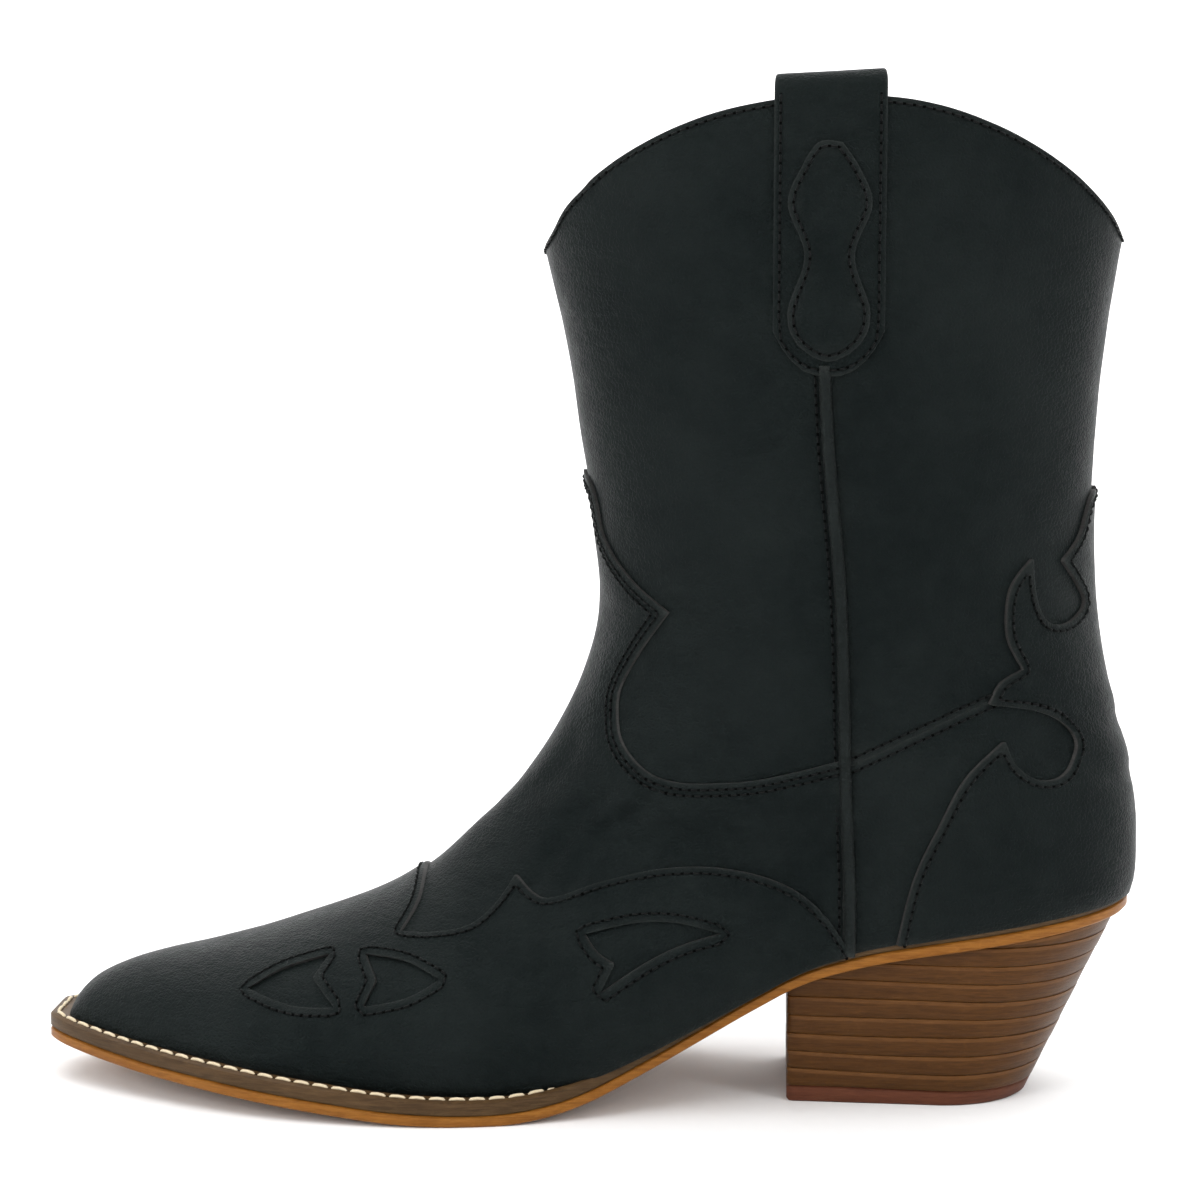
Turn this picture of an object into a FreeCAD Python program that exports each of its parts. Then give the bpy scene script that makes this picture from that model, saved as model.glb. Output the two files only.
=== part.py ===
import FreeCAD, Part

import math
import os

from FreeCAD import Placement, Rotation, Vector

# A women's western ankle boot for the left foot, in millimetres.
# The toe points along -X, the outer (lateral) side faces -Y, +Z is up.
# The origin is the middle of the bounding box on the ground.

doc = FreeCAD.newDocument("cowboy_boot")

# ---------------------------------------------------------------- driving dimensions
DIMENSIONS = [
    ("heel_axis_y", 3.2),          # the heel's centre line, because the ball bulges to the outer side
    ("leather_thick", 1.5),        # vamp, shaft and quarter leather
    ("overlay_thick", 1.0),        # wing, counter and strap leather
    ("lining_thick", 0.9),
    ("stiffener_thick", 0.8),      # toe puff and heel counter
    ("layer_gap", 0.2),            # glue line between two layers
    ("seam_gap", 0.3),             # slit between two panels of one layer
    ("rim_peak_height", 242.6),    # top edge beside the pull straps
    ("rim_corner_height", 209.5),  # top edge at the front and the back
    ("strap_width", 25.5),
    ("strap_top_height", 249.0),
    ("strap_front_x", 45.9),
    ("strap_inner_drop", 30.0),    # how far the strap runs down inside the shaft
    ("strap_rise", 1.0),           # thickness of the strap where it bridges the rim
    ("strap_loop_depth", 2.5),     # how far the inner leg of the strap stands off the lining
    ("piping_width", 2.8),
    ("piping_rise", 1.8),
    ("welt_front_thick", 3.6),
    ("welt_heel_thick", 1.7),
    ("welt_width", 9.0),
    ("outsole_thick", 2.7),
    ("insole_thick", 2.0),
    ("sock_thick", 2.0),
    ("breast_x", 50.4),            # front face of the heel
    ("heel_foot_back", 110.2),     # rear of the heel on the ground
    ("heel_seat_back", 134.6),     # rear of the heel at the loft height
    ("heel_foot_half", 22.0),      # half width on the ground
    ("heel_seat_half", 29.6),
    ("heel_loft_height", 52.0),
    ("top_piece_thick", 4.0),
    ("lift_pitch", 4.7),
    ("lift_joint", 0.1),           # glue line between two lifts
    ("nail_radius", 1.1),
    ("nail_length", 26.0),
    ("nail_clear", 0.1),
    ("shank_length", 96.0),
    ("shank_width", 12.0),
    ("shank_thick", 1.2),
    ("shank_start_x", -28.0),
    ("stitch_length", 3.7),
    ("stitch_pitch", 4.75),
    ("stitch_width", 0.8),
    ("stitch_rise", 0.45),
    ("stitch_inset", 1.9),
]
sheet = doc.addObject("Spreadsheet::Sheet", "dimensions")
for number, (alias, value) in enumerate(DIMENSIONS, start=1):
    sheet.set(f"A{number}", alias)
    sheet.set(f"B{number}", str(value))
    sheet.setAlias(f"B{number}", alias)
doc.recompute()


def dim(alias):
    """A driving dimension, read from the sheet."""
    return float(sheet.get(alias))


LIFT_COUNT = 9
NAILS = [(72.0, -9.0), (72.0, 9.0), (90.0, -13.0), (90.0, 13.0), (104.0, 0.0)]

# ---------------------------------------------------------------- the foot's shape
# One row for each section of the upper, from the top edge round the ankle to the toe:
# front or top end (x, z), back or bottom end (x, z), half widths (outer, inner),
# place of the widest point along the section, fullness before and after it.
SECTIONS = [
    (-17.8, 250.0, 137.0, 250.0, 42.0, 42.0, 0.50, 2.20, 2.20),
    (-10.4, 210.0, 129.9, 210.0, 41.0, 41.0, 0.50, 2.20, 2.20),
    (-4.7, 184.0, 126.1, 184.0, 39.5, 39.5, 0.50, 2.15, 2.15),
    (-0.9, 160.0, 124.2, 160.0, 38.0, 38.0, 0.50, 2.10, 2.10),
    (2.5, 138.0, 123.4, 138.0, 36.5, 36.5, 0.50, 2.10, 2.10),
    (2.9, 118.0, 125.1, 117.0, 35.0, 34.5, 0.52, 2.05, 2.10),
    (-1.2, 103.0, 128.8, 99.0, 34.0, 33.0, 0.55, 2.00, 2.10),
    (-8.3, 88.5, 133.1, 83.0, 33.5, 32.5, 0.58, 2.00, 2.20),
    (-15.8, 77.0, 135.1, 66.0, 33.5, 32.0, 0.60, 1.95, 2.30),
    (-21.8, 70.5, 133.0, 49.0, 33.0, 31.5, 0.60, 1.90, 2.40),
    (-27.4, 65.3, 118.8, 38.0, 33.0, 31.0, 0.58, 1.90, 2.60),
    (-33.0, 59.8, 89.9, 30.0, 34.0, 31.5, 0.57, 1.90, 2.80),
    (-39.0, 54.6, 54.8, 17.0, 36.5, 33.0, 0.58, 1.90, 2.80),
    (-46.1, 49.9, 19.2, 3.0, 40.0, 35.0, 0.62, 1.90, 2.80),
    (-54.3, 45.8, -14.8, -2.0, 42.5, 36.5, 0.68, 1.90, 2.80),
    (-63.5, 42.3, -42.1, -2.0, 42.0, 36.0, 0.72, 1.90, 2.80),
    (-73.7, 38.7, -62.5, 0.0, 39.5, 34.0, 0.72, 1.90, 2.80),
    (-85.0, 35.1, -79.9, 2.0, 35.0, 30.5, 0.72, 1.90, 2.80),
    (-96.4, 32.0, -96.4, 4.5, 28.5, 26.0, 0.70, 1.95, 2.80),
    (-107.8, 29.5, -110.9, 6.0, 21.5, 20.5, 0.68, 2.00, 2.60),
    (-117.7, 26.6, -121.3, 7.0, 15.5, 15.0, 0.65, 2.00, 2.50),
    (-125.5, 22.7, -128.1, 8.0, 11.0, 11.0, 0.60, 2.00, 2.40),
    (-130.3, 17.8, -131.3, 9.0, 8.0, 8.0, 0.50, 2.00, 2.20),
]
RING_POINTS = 24
STEPS_PER_SECTION = 2

# Height of the upper's lower edge, where it meets the welt.
FEATHER_LINE = [
    (-139.1, 16.6), (-114.2, 13.5), (-87.7, 11.2), (-60.9, 8.7), (-41.3, 6.9), (-22.1, 6.3), (-9.3, 7.4),
    (2.3, 10.4), (15.8, 16.4), (29.4, 23.4), (43.0, 30.8), (53.7, 36.4), (64.5, 40.0), (78.2, 43.0),
    (105.0, 47.0), (126.9, 50.2), (144.6, 52.8),
]
# Plan of the welt and outsole about the heel axis, from the toe's corner to the back of the heel.
SOLE_OUTER = [
    (-135.9, -8.0), (-130.7, -13.6), (-119.2, -21.6), (-104.7, -30.2), (-88.1, -38.2), (-69.6, -44.2),
    (-49.2, -47.5), (-33.0, -47.6), (-16.8, -45.2), (-1.7, -41.0), (15.2, -36.4), (33.1, -33.2),
    (52.8, -31.6), (77.3, -31.6), (96.7, -30.6), (111.2, -27.4), (122.7, -21.4), (131.3, -12.0),
    (134.7, 0.0),
]
SOLE_INNER = [
    (-135.9, 8.0), (-130.7, 13.4), (-119.2, 20.6), (-104.7, 28.0), (-88.1, 34.8), (-71.7, 39.2),
    (-55.3, 41.3), (-39.0, 41.3), (-21.8, 38.8), (-4.7, 35.4), (15.2, 32.6), (33.1, 31.0), (52.8, 30.4),
    (77.3, 30.6), (96.7, 30.0), (111.2, 27.0), (122.7, 21.2), (131.3, 12.0), (134.7, 0.0),
]
# Side seam under the piping, from the top edge to the sole.
SIDE_SEAM = [
    (56.9, 262.0), (57.3, 200.0), (58.6, 165.0), (62.2, 124.5), (63.8, 80.5), (64.9, 44.0), (61.3, 10.0),
]
# Top edge of the shaft between its front and back corners.
RIM_LINE = [
    (-26.9, 190.0), (-9.5, 209.5), (-2.8, 218.8), (9.0, 228.6), (25.7, 236.8), (44.0, 241.4),
    (63.7, 242.6), (81.2, 241.0), (98.3, 235.4), (113.1, 227.2), (123.6, 218.4), (130.8, 209.5),
    (145.6, 190.0),
]
# Edge of the vamp's tongue over the front of the shaft, from the front ridge to the side seam.
TONGUE_EDGE = [
    [(-12.8, 160.0), (1.1, 152.0), (5.5, 138.0), (12.6, 128.6), (21.7, 121.5)],
    [
        (21.7, 121.5), (14.6, 111.0), (9.4, 100.0), (10.6, 88.6), (20.2, 81.0), (37.7, 81.2), (51.8, 84.2),
        (65.7, 88.5),
    ],
]
QUARTER_SEAM = [
    (60.7, 83.8), (80.3, 93.4), (97.6, 101.2), (115.9, 107.0), (149.4, 112.0),
]
# Flame edge of the counter overlay, as runs between its points.
COUNTER_EDGE = [
    [(75.2, 38.0), (79.8, 58.0), (85.7, 71.5), (91.9, 83.2), (101.0, 92.0)],
    [
        (101.0, 92.0), (103.8, 86.0), (109.2, 82.4), (115.0, 82.8), (118.6, 88.0), (116.4, 94.4),
        (108.8, 98.6), (97.1, 100.7),
    ],
    [(97.1, 100.7), (99.8, 105.8), (105.2, 108.8)],
    [(105.2, 108.8), (101.2, 117.0), (101.8, 128.0), (107.1, 135.3)],
    [
        (107.1, 135.3), (108.1, 126.0), (111.0, 119.8), (116.5, 119.0), (120.8, 123.0), (118.3, 128.6),
        (114.5, 134.0),
    ],
    [(114.5, 134.0), (119.1, 139.6), (122.8, 149.4), (131.3, 154.0), (149.4, 155.0)],
]
# Upper edge of the wing overlay, from the ridge of the foot to the side seam, as runs between its points.
WING_EDGE = [
    [(-40.1, 62.0), (-40.0, 49.0), (-43.8, 41.8)],
    [(-43.8, 41.8), (-35.7, 42.4), (-26.1, 44.8), (-19.8, 50.0), (-15.4, 56.1)],
    [
        (-15.4, 56.1), (-11.1, 52.6), (-6.4, 51.8), (6.6, 56.2), (20.6, 59.6), (34.7, 60.3), (48.8, 57.2),
        (58.7, 50.2), (64.7, 40.0),
    ],
]
EYE_FRONT = [
    [(-81.5, 27.5), (-72.6, 32.2), (-61.3, 35.8)],
    [(-61.3, 35.8), (-64.9, 31.1)],
    [(-64.9, 31.1), (-58.7, 25.8)],
    [(-58.7, 25.8), (-69.5, 25.4), (-81.5, 27.5)],
]
EYE_REAR = [
    [(-52.0, 36.7), (-41.8, 36.2), (-32.9, 33.0)],
    [(-32.9, 33.0), (-41.0, 28.8), (-51.6, 26.3)],
    [(-51.6, 26.3), (-48.7, 32.0)],
    [(-48.7, 32.0), (-52.0, 36.7)],
]
FIN_WINDOW = [
    [(1.9, 44.2), (14.2, 47.2), (24.2, 47.4), (34.4, 45.2)],
    [(34.4, 45.2), (25.0, 42.3), (16.2, 38.0), (5.5, 31.0)],
    [(5.5, 31.0), (9.1, 37.8)],
    [(9.1, 37.8), (5.0, 40.2), (1.9, 44.2)],
]
# Hourglass patch on a pull strap, from its top round the outer bulbs, about the strap's centre line.
PATCH_HALF = [
    (2.6, 232.0), (6.6, 226.0), (9.4, 217.8), (5.6, 206.2), (9.2, 193.5), (7.0, 186.0), (0.0, 182.0),
]

SIDE_REACH = 70.0      # how far a side-view prism reaches to each side
FOOT_LOWEST = -30.0
ABOVE_ALL = 300.0


# ---------------------------------------------------------------- shape helpers
def between(rows, place):
    """Row at a fractional row number, on a smooth curve through the rows (Catmull-Rom)."""
    last = len(rows) - 1
    i = min(int(place), last - 1)
    f = place - i
    nearby = zip(rows[max(i - 1, 0)], rows[i], rows[i + 1], rows[min(i + 2, last)])
    return [
        0.5 * (2 * b + (c - a) * f + (2 * a - 5 * b + 4 * c - d) * f ** 2 + (3 * b - a - 3 * c + d) * f ** 3)
        for a, b, c, d in nearby
    ]


def section_point(section, angle, grow):
    """Point of a section: angle 0 is its front or top end, half a turn its back or bottom end."""
    front_x, front_z, back_x, back_z, outer, inner, widest, full_front, full_back = section
    length = math.hypot(back_x - front_x, back_z - front_z)
    along_x = (back_x - front_x) / length
    along_z = (back_z - front_z) / length
    on_outer = angle <= math.pi
    turn = angle if on_outer else 2 * math.pi - angle
    half_width = (outer if on_outer else inner) + grow
    power = 2 / (full_front if turn <= math.pi / 2 else full_back)
    across = half_width * abs(math.sin(turn)) ** power
    reach = abs(math.cos(turn)) ** power
    grown = length + 2 * grow
    widest_at = widest * grown
    along = widest_at * (1 - reach) if turn <= math.pi / 2 else widest_at + (grown - widest_at) * reach
    side = -1 if on_outer else 1
    x = front_x + along_x * (along - grow)
    z = front_z + along_z * (along - grow)
    return Vector(x, dim("heel_axis_y") + side * across, z)


SKINS = {}
SHAFT_SECTIONS = 6


def skin(grow, count=len(SECTIONS)):
    """Closed solid inside the upper's surface, grown outwards by a distance, over the first sections."""
    if (grow, count) not in SKINS:
        rings = []
        for step in range((count - 1) * STEPS_PER_SECTION + 1):
            section = between(SECTIONS, step / STEPS_PER_SECTION)
            angles = [2 * math.pi * (k % RING_POINTS) / RING_POINTS for k in range(RING_POINTS + 1)]
            rings.append([section_point(section, angle, grow) for angle in angles])
        surface = Part.BSplineSurface()
        surface.interpolate(rings)
        first, last = surface.bounds()[:2]
        ends = [Part.Face(Part.Wire(surface.uIso(place).toShape())) for place in (first, last)]
        closed = Part.makeShell([surface.toShape()] + ends)
        closed.sewShape()
        SKINS[(grow, count)] = Part.makeSolid(closed)
    return SKINS[(grow, count)]


def shell(low, high, count=len(SECTIONS)):
    """Layer of the upper between two distances from its surface, over the first sections."""
    return skin(high, count).cut(skin(low, count))


def spline(points):
    """Smooth edge through points."""
    if len(points) == 2:
        return Part.LineSegment(points[0], points[1]).toShape()
    curve = Part.BSplineCurve()
    curve.interpolate(points)
    return curve.toShape()


def side_edges(runs, y):
    """Edges in a side-view plane, one smooth edge for each run of (x, z) points."""
    return [spline([Vector(x, y, z) for x, z in run]) for run in runs]


def side_prism(runs, y_from=-SIDE_REACH, y_to=SIDE_REACH):
    """Solid with a side-view outline: runs of (x, z) points that close on themselves."""
    face = Part.Face(Part.Wire(Part.sortEdges(side_edges(runs, y_from))[0]))
    return face.extrude(Vector(0, y_to - y_from, 0))


def region(line_runs, corners, y_from=-SIDE_REACH, y_to=SIDE_REACH):
    """Side-view prism bounded by smooth runs and then by straight lines through corners."""
    points = [line_runs[-1][-1]] + corners + [line_runs[0][0]]
    straight = [[points[i], points[i + 1]] for i in range(len(points) - 1)]
    return side_prism(line_runs + straight, y_from, y_to)


def shifted(points, dx=0.0, dz=0.0):
    return [(x + dx, z + dz) for x, z in points]


def shifted_runs(runs, dx=0.0, dz=0.0):
    return [shifted(run, dx, dz) for run in runs]


def welt_thick(x):
    """Thickness of the welt, which thins from the ball to the heel."""
    share = min(max((x + 10.0) / 60.0, 0.0), 1.0)
    share = share * share * (3 - 2 * share)
    return dim("welt_front_thick") + (dim("welt_heel_thick") - dim("welt_front_thick")) * share


def add(name, shape):
    """Sub-part whose shape is freeform."""
    piece = doc.addObject("Part::Feature", name)
    piece.Label = name
    piece.Shape = shape
    piece.Placement = Placement(Vector(0, 0, 0), Rotation())
    return piece


def helper(kind, name):
    made = doc.addObject(kind, name)
    made.Label = name
    return made


# ---------------------------------------------------------------- upper: prisms shared by several pieces
layer_gap = dim("layer_gap")
seam_gap = dim("seam_gap")
half_seam = seam_gap / 2
base_low = -dim("leather_thick")
stiff_high = base_low - layer_gap
stiff_low = stiff_high - dim("stiffener_thick")
lining_high = stiff_low - layer_gap
lining_low = lining_high - dim("lining_thick")
over_low = layer_gap
over_high = over_low + dim("overlay_thick")

above_feather = region([shifted(FEATHER_LINE, dz=layer_gap)], [(145.0, ABOVE_ALL), (-140.0, ABOVE_ALL)])
below_rim = region([RIM_LINE], [(146.0, FOOT_LOWEST), (-160.0, FOOT_LOWEST), (-160.0, 190.0)])
AHEAD = [(58.0, FOOT_LOWEST), (-160.0, FOOT_LOWEST), (-160.0, 262.0)]
BEHIND = [(160.0, 10.0), (160.0, 262.0)]
ahead_of_seam = region([shifted(SIDE_SEAM, dx=-half_seam)], AHEAD)
behind_seam = region([shifted(SIDE_SEAM, dx=half_seam)], BEHIND)
BACK_LIMIT = 80.0       # side-view x behind the side seam, where the front regions close
OVER_TONGUE = [(BACK_LIMIT, 89.0), (BACK_LIMIT, ABOVE_ALL), (-16.0, ABOVE_ALL)]
UNDER_TONGUE = [(BACK_LIMIT, 88.0), (BACK_LIMIT, FOOT_LOWEST), (-160.0, FOOT_LOWEST), (-160.0, 160.0)]
OVER_QUARTER = [(150.0, ABOVE_ALL), (40.0, ABOVE_ALL), (40.0, 84.0)]
UNDER_QUARTER = [(150.0, FOOT_LOWEST), (40.0, FOOT_LOWEST), (40.0, 83.6)]
above_tongue = region(shifted_runs(TONGUE_EDGE, dz=half_seam), OVER_TONGUE)
below_tongue = region(shifted_runs(TONGUE_EDGE, dz=-half_seam), UNDER_TONGUE)
above_quarter = region([shifted(QUARTER_SEAM, dz=half_seam)], OVER_QUARTER)
below_quarter = region([shifted(QUARTER_SEAM, dz=-half_seam)], UNDER_QUARTER)

# ---------------------------------------------------------------- upper: base leather
base = shell(base_low, 0.0).common(above_feather)
front_base = base.common(ahead_of_seam)
back_base = base.common(behind_seam)
add("front_shaft_panel", front_base.common(above_tongue).common(below_rim))
add("vamp", front_base.common(below_tongue))
add("back_shaft_panel", back_base.common(above_quarter).common(below_rim))
quarters = back_base.common(below_quarter)
axis_y = dim("heel_axis_y")
SIDES = (("lateral", -SIDE_REACH, axis_y - half_seam), ("medial", axis_y + half_seam, SIDE_REACH))
for side, low, high in SIDES:
    half = Part.makeBox(300.0, high - low, 200.0, Vector(-100.0, low, 0.0))
    add(f"lower_quarter_{side}", quarters.common(half))

# ---------------------------------------------------------------- upper: overlays
overlay = shell(over_low, over_high).common(above_feather)
seam_clear = dim("piping_width") / 2 + seam_gap
ahead_of_piping = region([shifted(SIDE_SEAM, dx=-seam_clear)], AHEAD)
wing = overlay.common(ahead_of_piping)
wing = wing.common(region(WING_EDGE, [(58.0, FOOT_LOWEST), (-160.0, FOOT_LOWEST), (-160.0, 62.0)]))
for window in (EYE_FRONT, EYE_REAR, FIN_WINDOW):
    wing = wing.cut(side_prism(window))
add("wing_toe_overlay", wing)
add("counter_overlay", overlay.common(region(COUNTER_EDGE, [(150.0, 38.0)])))

piping_half = dim("piping_width") / 2
piping_runs = [
    shifted(SIDE_SEAM, dx=-piping_half),
    [shifted(SIDE_SEAM, dx=-piping_half)[-1], shifted(SIDE_SEAM, dx=piping_half)[-1]],
    shifted(SIDE_SEAM, dx=piping_half),
    [shifted(SIDE_SEAM, dx=piping_half)[0], shifted(SIDE_SEAM, dx=-piping_half)[0]],
]
piping_band = shell(over_low, over_low + dim("piping_rise")).common(above_feather)
piping_band = piping_band.common(side_prism(piping_runs)).common(below_rim)

strap_front = dim("strap_front_x")
strap_back = strap_front + dim("strap_width")
strap_mid = (strap_front + strap_back) / 2
strap_top = dim("strap_top_height")
STRAP_LOW = 178.5
STRAP_SHOULDER = 188.0


def strap_outline(low, shoulder):
    """Outline of a strap leg: straight sides and a blunt rounded end."""
    end_top = low + 2.4
    end = [
        (strap_front, shoulder), (strap_front + 5.0, end_top), (strap_mid, low),
        (strap_back - 5.0, end_top), (strap_back, shoulder),
    ]
    top = [
        (strap_back, shoulder), (strap_back, strap_top),
        (strap_front, strap_top - 1.2), (strap_front, shoulder),
    ]
    return [end] + [[top[i], top[i + 1]] for i in range(3)]


piping_top = Part.makeBox(200.0, 2 * SIDE_REACH, 200.0, Vector(-50.0, -SIDE_REACH, STRAP_LOW - seam_gap))
piping_band = piping_band.cut(piping_top)
inner_low = dim("rim_peak_height") - dim("strap_inner_drop")
outer_leg = shell(over_low, over_high, SHAFT_SECTIONS)
outer_leg = outer_leg.common(side_prism(strap_outline(STRAP_LOW, STRAP_SHOULDER)))
lining_clear = lining_low - dim("strap_loop_depth")
inner_leg = shell(lining_clear - dim("overlay_thick"), lining_clear, SHAFT_SECTIONS)
inner_leg = inner_leg.common(side_prism(strap_outline(inner_low, inner_low + 9.0)))
bridge_low = strap_top - 1.2 - dim("strap_rise")
bridge = shell(lining_clear - dim("overlay_thick"), over_high, SHAFT_SECTIONS)
bridge = bridge.common(side_prism(strap_outline(STRAP_LOW, STRAP_SHOULDER)))
bridge = bridge.common(Part.makeBox(200.0, 2 * SIDE_REACH, 20.0, Vector(-50.0, -SIDE_REACH, bridge_low)))
straps = outer_leg.fuse(bridge).fuse(inner_leg)

patch_low = over_high + layer_gap
patch_right = [(strap_mid + x, z) for x, z in PATCH_HALF]
patch_left = [(strap_mid - x, z) for x, z in PATCH_HALF]
patch_runs = [patch_right, patch_left, [patch_left[0], patch_right[0]]]
patches = shell(patch_low, patch_low + dim("overlay_thick"), SHAFT_SECTIONS).common(side_prism(patch_runs))

for side, low in (("lateral", -SIDE_REACH), ("medial", axis_y)):
    half = Part.makeBox(300.0, SIDE_REACH + axis_y, 300.0, Vector(-100.0, low, 0.0))
    add(f"side_piping_{side}", piping_band.common(half))
    add(f"pull_strap_{side}", straps.common(half))
    add(f"strap_patch_{side}", patches.common(half))

# ---------------------------------------------------------------- upper: inner layers
LINING_SPLIT = 96.0
lining = shell(lining_low, lining_high).common(above_feather).common(below_rim)
half_block = Part.makeBox(400.0, 2 * SIDE_REACH, ABOVE_ALL, Vector(-200.0, -SIDE_REACH, LINING_SPLIT))
upper_half = half_block.translated(Vector(0.0, 0.0, half_seam))
lower_half = half_block.translated(Vector(0.0, 0.0, -half_seam - ABOVE_ALL))
add("shaft_lining", lining.common(upper_half))
add("foot_lining", lining.common(lower_half))
stiffener = shell(stiff_low, stiff_high).common(above_feather)
PUFF_EDGE = [[(-84.0, 70.0), (-90.0, 34.0), (-104.0, -20.0)]]
add("toe_puff", stiffener.common(region(PUFF_EDGE, [(-160.0, -20.0), (-160.0, 70.0)])))
COUNTER_STIFF_EDGE = [[(66.0, 20.0), (74.0, 60.0), (92.0, 84.0), (118.0, 96.0), (150.0, 98.0)]]
add("heel_counter_stiffener", stiffener.common(region(COUNTER_STIFF_EDGE, [(150.0, 20.0)])))


# ---------------------------------------------------------------- bottom
def inset_side(side, inset):
    """Points of one side of the sole's plan, moved towards the heel axis by a distance."""
    moved = []
    for before, (x, y), after in zip([side[0]] + side, side, side[1:]):
        run = Vector(after[0] - before[0], after[1] - before[1], 0.0).normalize()
        inwards = 1.0 if y < 0 else -1.0
        moved.append(Vector(x - inwards * run.y * inset, axis_y + y + inwards * run.x * inset, FOOT_LOWEST))
    moved.append(Vector(side[-1][0] - inset, axis_y, FOOT_LOWEST))
    return moved


def plan_wire(inset):
    """Closed plan of the sole at a distance inside the welt's edge, in the plane z = FOOT_LOWEST."""
    outer = inset_side(SOLE_OUTER, inset)
    inner = inset_side(SOLE_INNER, inset)
    return Part.Wire([spline([inner[0], outer[0]]), spline(outer + inner[-2::-1])])


def plan_prism(inset):
    return Part.Face(plan_wire(inset)).extrude(Vector(0, 0, ABOVE_ALL))


def feather_band(low, high):
    """Side-view prism between two depths below the feather line; each depth is a function of x."""
    top = [(x, z - low(x)) for x, z in FEATHER_LINE]
    bottom = [(x, z - high(x)) for x, z in FEATHER_LINE]
    return side_prism([top, [top[-1], bottom[-1]], bottom, [bottom[0], top[0]]])


def outsole_top(x):
    return welt_thick(x) + layer_gap / 2


def outsole_low(x):
    return outsole_top(x) + dim("outsole_thick")


sole_plan = plan_prism(0.0)
ring_hollow = plan_prism(dim("welt_width"))
filler_plan = plan_prism(dim("welt_width") + layer_gap)
welt_band = feather_band(lambda x: 0.0, welt_thick)
add("welt", sole_plan.common(welt_band).cut(ring_hollow))

nail_holes = []
for x, y in NAILS:
    drill = dim("nail_radius") + dim("nail_clear")
    nail_holes.append(Part.makeCylinder(drill, 90.0, Vector(x, axis_y + y, -10.0)))


def drilled(shape, drills=nail_holes):
    for drill in drills:
        shape = shape.cut(drill)
    return shape


outsole_band = feather_band(outsole_top, outsole_low)
ground = Part.makeBox(400.0, 200.0, 100.0, Vector(-200.0, -100.0, 0.0))
add("outsole", drilled(sole_plan.common(outsole_band).common(ground)))

shank_start = dim("shank_start_x")
shank_plan = Part.makeBox(dim("shank_length"), dim("shank_width"), ABOVE_ALL,
                          Vector(shank_start, axis_y - dim("shank_width") / 2, FOOT_LOWEST))
SHANK_DEPTH = 0.25
shank_band = feather_band(lambda x: SHANK_DEPTH, lambda x: SHANK_DEPTH + dim("shank_thick"))
add("steel_shank", shank_plan.common(shank_band))
slot = Part.makeBox(dim("shank_length") + 1.0, dim("shank_width") + 1.0, ABOVE_ALL,
                    Vector(shank_start - 0.5, axis_y - dim("shank_width") / 2 - 0.5, FOOT_LOWEST))
filler_band = feather_band(lambda x: 0.1, lambda x: welt_thick(x) - 0.05)
filler = filler_plan.common(filler_band)
slot_band = feather_band(lambda x: -1.0, lambda x: SHANK_DEPTH + dim("shank_thick") + 0.1)
add("bottom_filler", drilled(filler.cut(slot.common(slot_band))))

inside = skin(lining_low - layer_gap)
insole_thick = dim("insole_thick")
insole_low = -layer_gap
insole_band = feather_band(lambda x: insole_low - insole_thick, lambda x: insole_low)
add("insole_board", drilled(inside.common(insole_band)))
sock_low = insole_low - insole_thick - layer_gap - 0.6
sock_band = feather_band(lambda x: sock_low - dim("sock_thick"), lambda x: sock_low)
add("sock_liner", inside.common(sock_band))

# Cream stitches on the welt, from the waist round the toe to the other waist.
stitch_line = plan_wire(dim("stitch_inset"))
stitches = []
path_points = stitch_line.discretize(Distance=dim("stitch_pitch"))
STITCH_END_X = 27.0


def feather_height(x):
    """Height of the feather line at x, linear between its points."""
    for (x0, z0), (x1, z1) in zip(FEATHER_LINE, FEATHER_LINE[1:]):
        if x0 <= x <= x1:
            return z0 + (z1 - z0) * (x - x0) / (x1 - x0)
    return FEATHER_LINE[-1][1]


for here, ahead in zip(path_points, path_points[1:]):
    middle = (here + ahead) * 0.5
    if middle.x > STITCH_END_X:
        continue
    run = Vector(ahead.x - here.x, ahead.y - here.y, feather_height(ahead.x) - feather_height(here.x))
    bar = Part.makeBox(dim("stitch_length"), dim("stitch_width"), dim("stitch_rise"),
                       Vector(-dim("stitch_length") / 2, -dim("stitch_width") / 2, 0.0))
    heading = math.degrees(math.atan2(run.y, run.x))
    climb = -math.degrees(math.atan2(run.z, math.hypot(run.x, run.y)))
    rest = Vector(middle.x, middle.y, feather_height(middle.x) + 0.3)
    bar.Placement = Placement(rest, Rotation(heading, climb, 0.0))
    stitches.append(bar)
add("welt_stitching", Part.makeCompound(stitches))


# ---------------------------------------------------------------- stacked heel
def heel_plan(height, back_alias, half_alias, name):
    """D-shaped plan of the heel at a height, as a sketch: flat breast, straight sides, elliptic back."""
    back = dim(back_alias)
    half = dim(half_alias)
    sketch = doc.addObject("Sketcher::SketchObject", name)
    breast = dim("breast_x")
    corner = half * 0.92
    shoulder = back - half * 1.02
    sketch.addGeometry(Part.LineSegment(Vector(breast, corner, 0), Vector(breast, -corner, 0)), False)
    sketch.addGeometry(Part.LineSegment(Vector(breast, -corner, 0), Vector(shoulder, -half, 0)), False)
    ellipse = Part.Ellipse(Vector(shoulder, 0, 0), back - shoulder, half) if back - shoulder > half else \
        Part.Ellipse(Vector(shoulder, half, 0), Vector(back, 0, 0), Vector(shoulder, 0, 0))
    sketch.addGeometry(Part.ArcOfEllipse(ellipse, -math.pi / 2, math.pi / 2), False)
    sketch.addGeometry(Part.LineSegment(Vector(shoulder, half, 0), Vector(breast, corner, 0)), False)
    sketch.Placement = Placement(Vector(0, axis_y, height), Rotation())
    return sketch


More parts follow.
